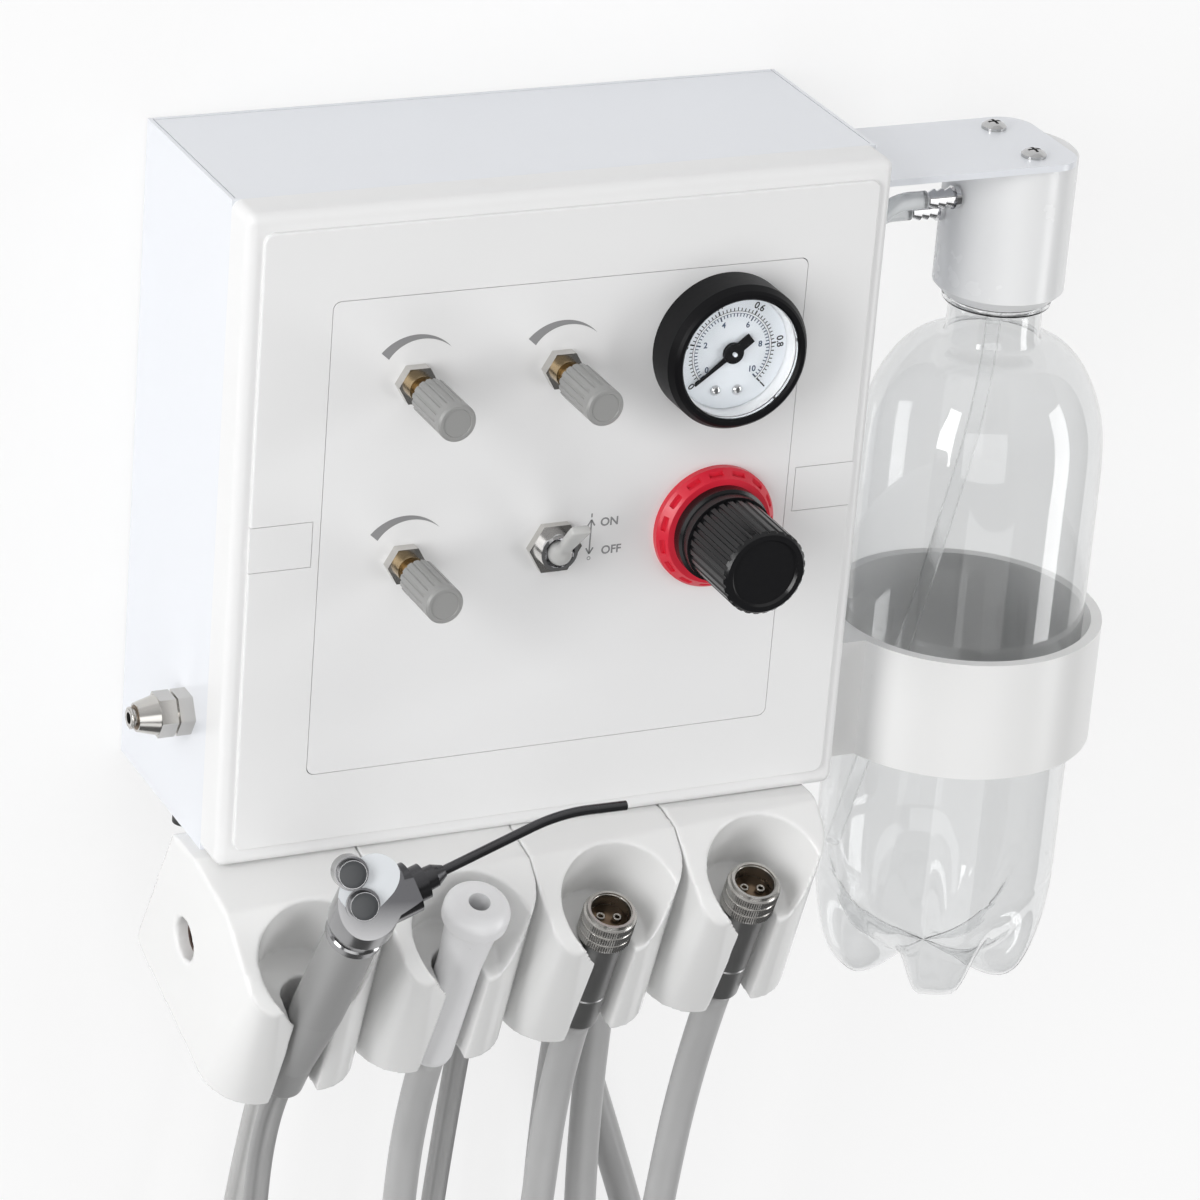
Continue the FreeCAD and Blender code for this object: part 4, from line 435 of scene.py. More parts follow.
NUT_AXIS = Vector((-0.0093, -0.3802, 0.9248))
nickel = plated("nickel", (0.66, 0.645, 0.62), 0.17)
chrome = plated("chrome", (0.78, 0.78, 0.79), 0.10)
zinc = plated("zinc", (0.74, 0.75, 0.77), 0.28)
screw_metal = plated("screw_metal", (0.54, 0.54, 0.54), 0.16)
inlet_metal = plated("inlet_metal", (0.62, 0.605, 0.58), 0.2)
brass = turned("brass", (0.44, 0.33, 0.19), 0.22, 0.0004, (0, 1, 0))
steel = turned("steel", (0.62, 0.62, 0.62), 0.3, 0.0003, (0, 0, 1))
nut_metal = turned("nut_metal", (0.60, 0.585, 0.56), 0.2, 0.0005, NUT_AXIS, 0.00002)
sleeve_metal = turned("sleeve_metal", (0.36, 0.36, 0.36), 0.34, 0.0004, NUT_AXIS)
# The pale grey of the head, and the dark of its painted reflection of a dark room.
HEAD_PALE, HEAD_REFLECTION_DARK = (0.34, 0.34, 0.345), (0.09, 0.09, 0.095)
head_finish = Finish("head_metal", HEAD_PALE, 0.16, Metallic=1.0)


def head_fade(out, start, end):
    """0 before the start and 1 past the end of a stretch of one coordinate: output 0 is x and output 2 is z."""
    coordinate = head_finish.node("ShaderNodeSeparateXYZ", None, {0: head_finish.place()}, out)
    return head_finish.node("ShaderNodeMapRange", None, {0: coordinate, 1: start, 2: end, 3: 0.0, 4: 1.0})


# Painted reflection: the head's colour falls from pale to dark towards its upper right, in place of a mirrored
# dark room.
painted_reflection_share = head_fade(0, -0.088, -0.080) * head_fade(2, -0.094, -0.084)
head_finish.set("Base Color", head_finish.mix(painted_reflection_share, HEAD_PALE, HEAD_REFLECTION_DARK))
head_finish.bump(head_finish.noise(500.0, 2.0), 0.00001, 0.3)
head_metal = head_finish.material
bar_metal = plated("bar_metal", (0.15, 0.09, 0.07), 0.45)
nozzle_steel = plated("nozzle_steel", (0.10, 0.10, 0.105), 0.24)
print("metals made")

# %% [markdown]
# ### Clear plastic
# The bottle is PET: clear, with walls under a millimetre.  Full transmission with PET's index of refraction bends
# the light at both faces of each wall.  A path tracer finds little light behind such a wall, so what is inside
# would look too dark.  Letting rays that go to a lamp pass most of the wall straight through mends that: the
# shader's Alpha falls for shadow rays only.  The thin tubes are cloudier, so they scatter a little too.


# %% Clear plastic
def let_light_in(finish, passing):
    """Alpha that falls by the passing share for rays on their way to a lamp."""
    shadow_ray = finish.node("ShaderNodeLightPath", out=1)
    finish.set("Alpha", 1.0 - shadow_ray * passing)


def clear(name, colour, roughness, index, wave_height):
    """Clear plastic with slow waves in its faces."""
    finish = Finish(name, colour, roughness, Transmission_Weight=1.0, IOR=index)
    finish.set("Roughness", finish.noise(40.0) * 0.04 + (roughness - 0.02))
    finish.bump(finish.noise(30.0, 2.0), wave_height, 0.4)
    let_light_in(finish, 0.9)
    return finish.material


def cloudy(name, colour, roughness, passing, index, share_seen):
    """Thin tube: passing is how clear it is, share_seen how much of the light it stops at all."""
    finish = Finish(name, colour, roughness, Transmission_Weight=passing, IOR=index)
    cloud = finish.noise(150.0)
    finish.set("Base Color", finish.mix(cloud, shade_of(colour, 0.96), colour))
    finish.set("Roughness", cloud * 0.1 + (roughness - 0.05))
    finish.set("Alpha", share_seen)
    return finish.material


clear_pet = clear("clear_pet", (0.89, 0.895, 0.897), 0.03, 1.42, 0.0001)
clear_lens = clear("clear_lens", (0.99, 0.99, 0.99), 0.02, 1.35, 0.00001)
clear_tube = cloudy("clear_tube", (0.86, 0.88, 0.89), 0.18, 0.6, 1.4, 0.85)
dip_plastic = cloudy("dip_plastic", (0.95, 0.96, 0.96), 0.12, 0.97, 1.25, 0.4)
print("clear plastic made")

# %% [markdown]
# ### Give each solid its finish
# A solid keeps its own mesh.  Its finish goes into the object's material slot, which leaves the mesh data as it
# was.

# %% Finishes of the solids
DRESS = {
    case_paint: ["case_shell", "top_panel", "back_panel", "bottle_bracket"],
    zinc: ["holder_ear"],
    screw_metal: ["pan_screws"],
    inlet_metal: ["inlet_bulkhead", "inlet_cap_nut"],
    bar_metal: ["holder_bar"],
    bezel_plastic: ["front_bezel", "panel_tabs"],
    panel_plastic: ["control_panel"],
    nickel: ["flow_valve_nuts", "toggle_nut"],
    chrome: ["toggle_body", "cap_barbs", "syringe_button_air", "syringe_button_water"],
    nut_metal: ["coupling_nut_3", "coupling_nut_4"],
    sleeve_metal: ["coupling_sleeve_3", "coupling_sleeve_4"],
    head_metal: ["syringe_head"],
    brass: ["flow_valve_bodies", "flow_stem_1", "flow_stem_2", "flow_stem_3"],
    knob_grey: ["flow_knob_1", "flow_knob_2", "flow_knob_3"],
    knob_black: ["regulator_bonnet", "regulator_knob"],
    ring_red: ["regulator_ring"],
    steel: ["regulator_body", "regulator_stem"],
    handle_grey: ["syringe_handle"],
    gauge_black: ["gauge_case", "gauge_needle"],
    ring_plastic: ["gauge_dial", "bottle_ring"],
    lever_plastic: ["toggle_lever"],
    clear_lens: ["gauge_lens"],
    cap_plastic: ["bottle_cap"],
    clear_pet: ["bottle"],
    clear_tube: ["bottle_tubes"],
    dip_plastic: ["dip_tube"],
    holder_plastic: ["holder_1", "holder_2", "holder_3", "holder_4"],
    suction_plastic: ["suction_handpiece"],
    nozzle_steel: ["syringe_nozzle"],
    hose_grey: ["hose_syringe"],
    hose_pale: ["hose_suction", "hose_coupling_3", "hose_coupling_4"],
    hose_light: ["hose_foot"],
    rubber_black: ["hose_glands", "case_foot", "bottle_gasket"],
}


def put_on(obj, material):
    """Set an object's one material on the object, not on its mesh."""
    if not obj.material_slots:
        obj.data.materials.append(None)
    for place in obj.material_slots:
        place.link = "OBJECT"
        place.material = material


def finish_piece(obj, material, body, solid=None):
    """Give a piece its material and its body, and hide the solid that it stands for."""
    put_on(obj, material)
    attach(obj, body)
    if solid:
        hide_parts(solid)


for material, names in DRESS.items():
    for name in names:
        put_on(nodes[name], material)
for name, hose in hoses.items():
    put_on(hose, nodes["hose_" + name].material_slots[0].material)
bare = sorted(set(nodes) - {name for names in DRESS.values() for name in names})
print("solids without a finish:", bare)

# %% [markdown]
# ## Instrument holders
# The holders are injection-moulded blocks, so every edge is rounded and every funnel has a soft rim.  The solid
# has sharp edges where its cuts meet.  A voxel remesh of a copy turns it into an even skin, and a few rounds of
# smoothing melt the edges as a mould does.  The copy then stands for the solid.

# %% Rounded skins for the holders
SKIN_VOXEL = 0.0007
SKIN_SMOOTH = 4


def apply_modifiers(obj):
    """Replace the mesh by its evaluated self and drop the modifiers."""
    made = evaluated_mesh(obj)
    obj.modifiers.clear()
    obj.data = made


def merged_copy(node):
    """A copy of a solid's mesh with its loose triangles joined."""
    mesh = bmesh.new()
    mesh.from_mesh(nodes[node].data)
    bmesh.ops.remove_doubles(mesh, verts=mesh.verts, dist=0.00001)
    return mesh


for number in (1, 2, 3, 4):
    skin = mesh_object("holder_skin_%d" % number, merged_copy("holder_%d" % number))
    remesh = skin.modifiers.new("remesh", "REMESH")
    remesh.mode = "VOXEL"
    remesh.voxel_size = SKIN_VOXEL
    remesh.use_smooth_shade = True
    smooth = skin.modifiers.new("smooth", "SMOOTH")
    smooth.factor = 0.5
    smooth.iterations = SKIN_SMOOTH
    apply_modifiers(skin)
    finish_piece(skin, holder_plastic, "unit", "holder_%d" % number)
    print(skin.name, len(skin.data.polygons), "faces")

# %% [markdown]
# ## Water bottle
# A drinks bottle is blown into its mould: a neck with a ring to carry it, a domed shoulder, a straight body and a
# base of five hollow feet, which keeps a round bottom from bulging under pressure.  The wall is drawn as rows of
# a radius and a height.  In the base each row moves between two outlines, one through a foot and one through
# the valley beside it, as the angle goes round.  Solidify then gives the skin its thickness.

# %% Rows of the bottle's wall, in millimetres, and its feet, in degrees
BOTTLE_X, BOTTLE_Y = 158.0, -47.1
NECK = [(12.5, 59.5), (12.5, 50), (12.5, 42), (12.7, 41.5), (16.2, 41.3), (16.7, 41.0), (16.7, 39.6),
        (16.2, 39.3), (14.7, 39.2), (14.4, 38.8), (14.4, 36.5), (14.4, 30.5), (14.6, 28.2), (15.4, 27.0),
        (17.2, 26.4)]
SHOULDER = [(20, 26.0), (23.5, 24.7), (27.5, 21.2), (31, 16.4), (34, 10.4), (36.4, 3.4), (37.6, -4.5), (38, -14)]
BODY = [(38, -30), (38, -55), (38, -85), (38, -115), (38, -140), (38, -148), (37.7, -149.5), (38, -151)]
VALLEY = [(38, -151), (37, -156), (35, -161), (31.5, -166.5), (27, -171.5), (21, -176), (14, -179), (7, -180.7),
          (0.4, -181)]
FOOT = [(38, -151), (37.6, -157), (36.9, -164), (35.6, -171), (33.6, -178), (31, -183.5), (27.5, -186.6),
        (22, -187), (17, -186.4), (11, -183.5), (5, -181.4), (0.4, -181)]
FIRST_FOOT, FEET = 250.0, 5
FOOT_EDGE, FOOT_BLEND = 29.0, 18.0


def evenly(points, count):
    """Points spaced evenly along a broken line."""
    line = [Vector(p) for p in points]
    steps = [(b - a).length for a, b in zip(line, line[1:])]
    made = []
    for i in range(count):
        left = sum(steps) * i / (count - 1)
        k = 0
        while k < len(steps) - 1 and left > steps[k]:
            left -= steps[k]
            k += 1
        made.append(line[k].lerp(line[k + 1], min(1.0, left / steps[k])))
    return made


def foot_share(angle):
    """1 on the middle of a foot, 0 in a valley, smooth between."""
    gap = 360.0 / FEET
    away = abs((angle - FIRST_FOOT + gap / 2) % gap - gap / 2)
    share = min(1.0, max(0.0, (FOOT_EDGE - away) / FOOT_BLEND))
    return share * share * (3 - 2 * share)


print("share of a foot every 12 degrees", [round(foot_share(FIRST_FOOT + a), 2) for a in range(0, 37, 12)])


# %% Bottle
def rows_to_skin(name, rows, centre):
    """A skin through rows of (radius, height) in millimetres about a centre, closed at the last row."""
    mesh = bmesh.new()
    rings = []
    for row in rows:
        rings.append([mesh.verts.new(((centre[0] + r * c) / 1000, (centre[1] + r * s) / 1000, z / 1000))
                      for (r, z), (c, s) in zip(row, circle(len(row)))])
    join_rings(mesh, rings)
    mesh.faces.new(rings[-1])
    return mesh_object(name, mesh)


AROUND, BASE_ROWS, WALL_THICK = 100, 13, 0.0006
rows = [[point] * AROUND for point in NECK + SHOULDER + BODY[:-1]]
for deep, proud in zip(evenly(VALLEY, BASE_ROWS), evenly(FOOT, BASE_ROWS)):
    rows.append([tuple(deep.lerp(proud, foot_share(360.0 * i / AROUND))) for i in range(AROUND)])
bottle_skin = rows_to_skin("bottle_skin", rows, (BOTTLE_X, BOTTLE_Y))
softer = bottle_skin.modifiers.new("softer", "SUBSURF")
softer.levels = 1
softer.render_levels = 1
wall_maker = bottle_skin.modifiers.new("wall", "SOLIDIFY")
wall_maker.thickness = WALL_THICK
wall_maker.offset = -1
apply_modifiers(bottle_skin)
finish_piece(bottle_skin, clear_pet, "bottle", "bottle")
print("bottle", len(bottle_skin.data.polygons), "faces")

# %% [markdown]
# ## Syringe head
# The oblique front of the head carries a white enamelled plate, and each of its two buttons is a chromed sleeve
# with a dark cap.  The plate starts as the head's own face, taken from a copy of the solid, drawn in a little and
# given a thickness, so it follows the head exactly and leaves the buttons free.  What it has in common with a
# prism over a drop-shaped outline, by a Boolean, is the plate.

# %% Outline of the enamelled plate, in millimetres to the right and up on the head's front
HEAD_OUT = Vector((-0.1968, -0.9212, 0.3355)).normalized()
HEAD_RIGHT = Vector((0, 0, 1)).cross(HEAD_OUT).normalized()
HEAD_UP = HEAD_OUT.cross(HEAD_RIGHT)
HEAD_MIDDLE = Vector((-0.07810, -0.14039, -0.08284))
DROP = [(-3.7, 13.3), (-0.6, 13.6), (3.4, 13.3), (6.0, 12.1), (7.8, 10.2), (8.9, 8.0), (9.1, 6.3), (8.7, 4.1),
        (7.4, 1.6), (5.4, -0.6), (3.1, -2.8), (0.5, -4.7), (-1.5, -5.0), (-3.8, -4.2), (-5.8, -2.8), (-7.7, -0.7),
        (-9.0, 1.6), (-9.7, 3.9), (-9.9, 5.9), (-9.4, 8.4), (-8.0, 10.9), (-6.2, 12.4)]
PLATE_GAP = PLATE_THICK = 0.0003
PRISM_HALF = 0.001
enamel = moulded("enamel", (0.64, 0.665, 0.69), 0.2, 200.0, 0.000008)


def closed_curve(points, steps=4):
    """A smooth closed line through points, by Catmull and Rom's rule."""
    line = []
    for i in range(len(points)):
        a, b, c, d = (Vector(points[(i + k) % len(points)]) for k in (-1, 0, 1, 2))
        for j in range(steps):
            t = j / steps
            line.append(0.5 * (2 * b + (c - a) * t + (2 * a - 5 * b + 4 * c - d) * t ** 2
                               + (3 * b - a - 3 * c + d) * t ** 3))
    return line


print("outline of", len(DROP), "points")

# %% Enamelled plate
mesh = merged_copy("syringe_head")
mesh.normal_update()
others = [face for face in mesh.faces if face.normal.dot(HEAD_OUT) < 0.999]
bmesh.ops.delete(mesh, geom=others, context="FACES")
bmesh.ops.dissolve_limit(mesh, angle_limit=0.01, verts=mesh.verts, edges=mesh.edges)
widest = max(mesh.faces, key=lambda face: face.calc_area())
bmesh.ops.delete(mesh, geom=[face for face in mesh.faces if face != widest], context="FACES")
print("front of the head", round(mesh.faces[:][0].calc_area() * 1e6), "mm2")
rim = bmesh.ops.inset_region(mesh, faces=mesh.faces, thickness=PLATE_GAP, use_even_offset=True)
bmesh.ops.delete(mesh, geom=rim["faces"], context="FACES")
raised = bmesh.ops.extrude_face_region(mesh, geom=mesh.faces[:])
corners = [part for part in raised["geom"] if isinstance(part, bmesh.types.BMVert)]
bmesh.ops.translate(mesh, vec=HEAD_OUT * PLATE_THICK, verts=corners)
head_plate = mesh_object("head_plate", mesh, smooth=False)
prism = bmesh.new()
line = [HEAD_MIDDLE + HEAD_RIGHT * (x / 1000) + HEAD_UP * (y / 1000) for x, y in closed_curve(DROP)]
below, above = [[prism.verts.new(p + HEAD_OUT * way) for p in line] for way in (-PRISM_HALF, PRISM_HALF)]
join_rings(prism, [below, above])
prism.faces.new(below)
prism.faces.new(above)
prism_object = mesh_object("plate_prism", prism, smooth=False)
common = head_plate.modifiers.new("common", "BOOLEAN")
common.operation = "INTERSECT"
common.solver = "EXACT"
common.object = prism_object
apply_modifiers(head_plate)
bpy.data.objects.remove(prism_object)
print("plate", len(head_plate.data.polygons), "faces")
finish_piece(head_plate, enamel, "syringe")


# %% A turned shape
def turn_to(axis):
    """The matrix that turns Z to an axis."""
    return Vector((0, 0, 1)).rotation_difference(Vector(axis)).to_matrix().to_4x4()


def lathe(name, profile, place, axis, material, body, steps=48):
    """Solid of revolution: (radius, height) in metres, along an axis from a place.  The profile is closed."""
    mesh = bmesh.new()
    rings = []
    for radius, height in profile:
        if radius == 0:
            rings.append([mesh.verts.new((0, 0, height))] * steps)
        else:
            rings.append([mesh.verts.new((radius * c, radius * s, height)) for c, s in circle(steps)])
    join_rings(mesh, rings)
    bmesh.ops.remove_doubles(mesh, verts=mesh.verts, dist=0.0000001)
    mesh.transform(Matrix.Translation(place) @ turn_to(axis))
    finish_piece(mesh_object(name, mesh), material, body)


BUTTONS = {"air": (-0.08289, -0.13995, -0.07491), "water": (-0.08034, -0.14363, -0.08350)}
CAP = [(0, 0.0003), (0.0026, 0.00026), (0.0036, 0.00014), (0.00392, 0.00001), (0.00408, -0.00006),
       (0.00408, -0.0004), (0, -0.0004)]
for name, end in BUTTONS.items():
    lathe("button_cap_" + name, CAP, end, HEAD_OUT, button_grey, name + "_button")
print("two button caps")

# %% [markdown]
# ## Knurled nuts of the couplings
# A handpiece is screwed on by hand, so its nut has three bands of fine straight ribs.  A rib is the same sharp
# ridge again and again about the axis: a circle of points with a bar on each is a job for Geometry Nodes.


# %% Ribs by Geometry Nodes
BAR_SOCKETS = {"Radius": "Float", "Length": "Float", "Width": "Float", "Count": "Int", "Material": "Material"}


def bar_tree(name):
    """A geometry tree for bars on points, and its inputs."""
    made = Tree(bpy.data.node_groups.new(name, "GeometryNodeTree"))
    for title, kind in BAR_SOCKETS.items():
        made.tree.interface.new_socket(title, in_out="INPUT", socket_type="NodeSocket" + kind)
    made.tree.interface.new_socket("Geometry", in_out="OUTPUT", socket_type="NodeSocketGeometry")
    outputs = made.tree.nodes.new("NodeGroupInput").outputs
    return made, {title: Link(made.tree, outputs[title]) for title in BAR_SOCKETS}


def bars_on(made, given, points, bar, angles):
    """Finish a tree: a bar on each point, turned by its angles, as plain mesh with the material."""
    spread = made.node("GeometryNodeInstanceOnPoints", None,
                       {"Points": points, "Instance": bar, "Rotation": angles})
    real = made.node("GeometryNodeRealizeInstances", None, {0: spread})
    dressed = made.node("GeometryNodeSetMaterial", None, {"Geometry": real, "Material": given["Material"]})
    plug(made.tree, made.tree.nodes.new("NodeGroupOutput").inputs[0], dressed)
    return made.tree


def rib_tree():
    """Ridges about the Z axis: square bars on a circle, half sunk and turned by 45 degrees."""
    made, given = bar_tree("ribs")
    points = made.node("GeometryNodeMeshCircle", None, {"Vertices": given["Count"], "Radius": given["Radius"]})
    turn = made.node("GeometryNodeInputIndex") / given["Count"] * math.tau + math.radians(45)
    angles = made.node("ShaderNodeCombineXYZ", None, {"Z": turn})
    wide = given["Width"]
    size = made.node("ShaderNodeCombineXYZ", None, {"X": wide, "Y": wide, "Z": given["Length"]})
    bar = made.node("GeometryNodeMeshCube", None, {"Size": size})
    return bars_on(made, given, points, bar, angles)


def by_nodes(name, tree, inputs):
    """A plain mesh object that a geometry tree makes from named inputs."""
    obj = new_object(name, bpy.data.meshes.new(name))
    modifier = obj.modifiers.new("make", "NODES")
    modifier.node_group = tree
    for item in tree.interface.items_tree:
        if item.in_out == "INPUT" and item.name in inputs:
            modifier[item.identifier] = inputs[item.name]
    apply_modifiers(obj)
    return obj


RIBS = rib_tree()
print("a tree of", len(RIBS.nodes), "nodes for ribs")

# %% Knurls of the nuts
NUT_FEET = {"3": (0.01975, -0.09416, -0.13314), "4": (0.06828, -0.09205, -0.13179)}
BANDS = [(0.0019, 0.0025), (0.0052, 0.0026), (0.0087, 0.0023)]
rib_metal = plated("rib_metal", (0.60, 0.59, 0.575), 0.16)
NUT_LINE = NUT_AXIS.normalized()
for number, foot in NUT_FEET.items():
    for band, (level, length) in enumerate(BANDS):
        ribs = by_nodes("knurl_%s_%d" % (number, band), RIBS,
                        {"Radius": 0.0080, "Length": length, "Width": 0.0004, "Count": 72, "Material": rib_metal})
        ribs.data.transform(Matrix.Translation(Vector(foot) + NUT_LINE * level) @ turn_to(NUT_LINE))
        finish_piece(ribs, rib_metal, "coupling_%s_nut" % number)
print("three knurled bands on each nut")

# %% Inner thread and pipe ends of the couplings
thread_metal = plated("thread_metal", (0.50, 0.48, 0.45), 0.26)
# Dark brown for the seat at the bottom of each bore and for the groove at the inlet: brass darkened as painted
# shade of those recesses.
seat_metal = plated("seat_metal", (0.22, 0.16, 0.11), 0.36)
pipe_metal = plated("pipe_metal", (0.42, 0.40, 0.37), 0.2)
SEAT_LEVEL, MOUTH_LEVEL, PITCH = 0.00646, 0.0112, 0.0005
BORE, TOOTH_TOP, TOOTH_FOOT = 0.00639, 0.0060, 0.0063
TURNS = int((MOUTH_LEVEL - SEAT_LEVEL) / PITCH)
teeth = [(TOOTH_TOP if k % 2 else TOOTH_FOOT, SEAT_LEVEL + k * PITCH / 2) for k in range(2 * TURNS + 1)]
thread = [(BORE, SEAT_LEVEL)] + teeth + [(BORE, SEAT_LEVEL + TURNS * PITCH), (BORE, SEAT_LEVEL)]
SEAT = [(0, 0.0002), (0.0059, 0.0002), (0.0059, -0.0001), (0, -0.0001)]
PIPE = [(0.0007, 0.0001), (0.0007, 0.0016), (0.0009, 0.0018), (0.0012, 0.0018), (0.0014, 0.0016), (0.0014, 0.0001),
        (0.0007, 0.0001)]
for number, foot in NUT_FEET.items():
    lathe("thread_" + number, thread, foot, NUT_AXIS, thread_metal, "coupling_%s_nut" % number, 64)
    seat = Vector(foot) + NUT_LINE * SEAT_LEVEL
    lathe("seat_" + number, SEAT, seat, NUT_AXIS, seat_metal, "coupling_" + number)
    for k, (across, back) in enumerate([(0.0023, -0.0008), (-0.0022, 0.0012)]):
        lathe("pipe_%s_%d" % (number, k), PIPE, seat + Vector((across, back, 0.0)), NUT_AXIS, pipe_metal,
              "coupling_" + number, 24)
print(TURNS, "turns of thread in each nut")

# %% Mouth of the air inlet
INLET_MOUTH = (-0.1162, -0.0527, -0.0627)
COLLET = [(0.00266, 0.0013), (0.0033, 0.0013), (0.0033, 0.0018), (0.0031, 0.00195), (0.00266, 0.00195),
          (0.00266, 0.0013)]
GROOVE = [(0.00266, 0.00004), (0.0037, 0.00004), (0.0037, -0.0002), (0.00266, -0.0002), (0.00266, 0.00004)]
lathe("inlet_collet", COLLET, INLET_MOUTH, (-1, 0, 0), inlet_metal, "unit")
# The groove's dark ring is painted shade in the gap between the cone's mouth and the collet.
lathe("inlet_groove", GROOVE, INLET_MOUTH, (-1, 0, 0), seat_metal, "unit")
print("collet and groove at the inlet")

# %% [markdown]
# ## Toggle lever
# The lever is one smooth moulding: a ball in the bush and a paddle that widens and flattens towards its end.  Its
# sections are rounded rectangles on a straight line, lofted ring by ring.

# %% Toggle lever, as rows of place on its line, half width and half thickness
LEVER_TILT = math.radians(45)
BALL_MIDDLE = Vector((-0.0010, -0.0871, -0.0090))
LEVER_ROWS = [(-0.0037, 0.0001, 0.0001), (-0.0034, 0.0014, 0.0014), (-0.0026, 0.0026, 0.0026),
              (-0.0013, 0.0035, 0.0035), (0.0, 0.0037, 0.0037), (0.0014, 0.0034, 0.0034),
              (0.0026, 0.0027, 0.0025), (0.0036, 0.0021, 0.0017), (0.0060, 0.0022, 0.0015),
              (0.0100, 0.0026, 0.0015), (0.0145, 0.0030, 0.0015), (0.0172, 0.0031, 0.0015),
              (0.0179, 0.0029, 0.0013), (0.0182, 0.0024, 0.0010), (0.0183, 0.0001, 0.0001)]
BALL_END, PADDLE_POWER, LEVER_STEPS = 0.003, 0.55, 32
along = Vector((0, -math.sin(LEVER_TILT), math.cos(LEVER_TILT)))
thick = Vector((0, math.cos(LEVER_TILT), math.sin(LEVER_TILT)))
mesh = bmesh.new()
rings = []
for level, half_wide, half_thick in LEVER_ROWS:
    roundness = 1.0 if level < BALL_END else PADDLE_POWER
    ring = []
    for c, s in circle(LEVER_STEPS):
        x = half_wide * math.copysign(abs(c) ** roundness, c)
        t = half_thick * math.copysign(abs(s) ** roundness, s)
        ring.append(mesh.verts.new(BALL_MIDDLE + Vector((x, 0, 0)) + thick * t + along * level))
    rings.append(ring)
join_rings(mesh, rings)
mesh.faces.new(rings[0])
mesh.faces.new(rings[-1])
finish_piece(mesh_object("lever_skin", mesh), lever_plastic, "toggle_lever", "toggle_lever")

# %% [markdown]
# ## Print on the panel
# Ink is a film, so each mark is a plate a few hundredths of a millimetre thick that lies on the panel.  The
# wedge-shaped arc over a flow knob says which way opens it, and the double arrow beside the toggle says which
# way is on.

# %% Ink
ink_grey = moulded("ink_grey", (0.27, 0.27, 0.275), 0.5, 3000.0, 0.000002)
ink_black = moulded("ink_black", (0.008, 0.008, 0.009), 0.5, 3000.0, 0.000002)
ink_blue = moulded("ink_blue", (0.035, 0.06, 0.12), 0.5, 3000.0, 0.000002)
PANEL_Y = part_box("control_panel")[0][1]
INK = 0.00004


def plate(name, outlines, y, material):
    """Flat marks of ink on the case: closed outlines in x and z, at depth y, facing the front."""
    mesh = bmesh.new()
    for outline in outlines:
        front = [mesh.verts.new((x, y - INK, z)) for x, z in outline]
        back = [mesh.verts.new((x, y, z)) for x, z in outline]
        mesh.faces.new(front)
        mesh.faces.new(list(reversed(back)))
        join_rings(mesh, [front, back])
    finish_piece(mesh_object(name, mesh, smooth=False), material, "unit")


def arc_band(cx, cz, outer, wide_start, wide_end, start, end, steps=32):
    """Outline of a band on an arc, so wide at its start and at its end.  Angles clockwise from up."""
    def at(radius, degrees):
        angle = math.radians(degrees)
        return (cx + radius * math.sin(angle), cz + radius * math.cos(angle))
    shares = [i / steps for i in range(steps + 1)]
    far = [at(outer, start + (end - start) * share) for share in shares]
    near = [at(outer - wide_start + (wide_start - wide_end) * share, start + (end - start) * share)
            for share in shares]
    return far + list(reversed(near[:-1] if wide_end == 0 else near))


FLOW_PLACES = [(-0.0478, 0.0469), (-0.0027, 0.0469), (-0.0478, -0.0087)]
arcs = [arc_band(x, z, 0.0144, 0.0032, 0, -48, 48) for x, z in FLOW_PLACES]
plate("flow_arcs", arcs, PANEL_Y, ink_grey)
print(len(arcs), "arcs")


# %% Double arrow and words beside the toggle
def stroke(x1, z1, x2, z2, wide):
    """A straight line of ink from one point to another."""
    along = Vector((x2 - x1, z2 - z1)).normalized() * wide / 2
    return [(x1 - along.y, z1 + along.x), (x1 + along.y, z1 - along.x), (x2 + along.y, z2 - along.x),
            (x2 - along.y, z2 + along.x)]


TOGGLE_X, TOGGLE_Z = -0.0010, -0.0090
arrow_x, arrow_z, reach, head = TOGGLE_X + 0.0120, TOGGLE_Z + 0.0013, 0.0054, 0.0019
LINE = 0.00045
arrow = [stroke(arrow_x, arrow_z - reach, arrow_x, arrow_z + reach, LINE),
         stroke(arrow_x, arrow_z + reach + 0.0008, arrow_x, arrow_z + reach + 0.0020, LINE),
         arc_band(arrow_x, arrow_z - reach - 0.0014, 0.0006, 0.00022, 0.00022, 0, 359, 20)]
for way in (1, -1):
    tip_z = arrow_z + way * reach
    for side in (1, -1):
        arrow.append(stroke(arrow_x, tip_z, arrow_x + side * head * 0.6, tip_z - way * head, LINE))
plate("toggle_arrow", arrow, PANEL_Y, ink_grey)


def print_text(name, words, x, z, height, y, material, turn=0.0):
    """Words as flat letters of ink on the case, facing the front, centred on x and z."""
    data = bpy.data.curves.new(name, "FONT")
    data.body = words
    data.size = height * 1.4
    data.offset = height * 0.03
    data.align_x = "CENTER"
    data.align_y = "CENTER"
    data.extrude = INK / 2
    data.resolution_u = 4
    guide = new_object(name + "_guide", data)
    mesh = evaluated_mesh(guide)
    bpy.data.objects.remove(guide)
    mesh.transform(Matrix.Translation((x, y - INK / 2, z)) @ Matrix.Rotation(turn, 4, "Y")
                   @ Matrix.Rotation(math.radians(90), 4, "X"))
    finish_piece(new_object(name, mesh), material, "unit")


print_text("word_on", "ON", 0.0168, -0.0035, 0.0026, PANEL_Y, ink_grey)
print_text("word_off", "OFF", 0.0180, -0.0125, 0.0026, PANEL_Y, ink_grey)
print("words on the panel: ON, OFF")

# %% [markdown]
# ## Pressure gauge
# The dial has two scales over 264 degrees: a black one outside and, inside, a blue one for the same pressure in
# another unit.  Each has three rows of ticks, for fiftieths, tenths and fifths, and a number at each fifth.
# Ticks are the same bar again and again on an arc, so the bars of the ribs serve here too.

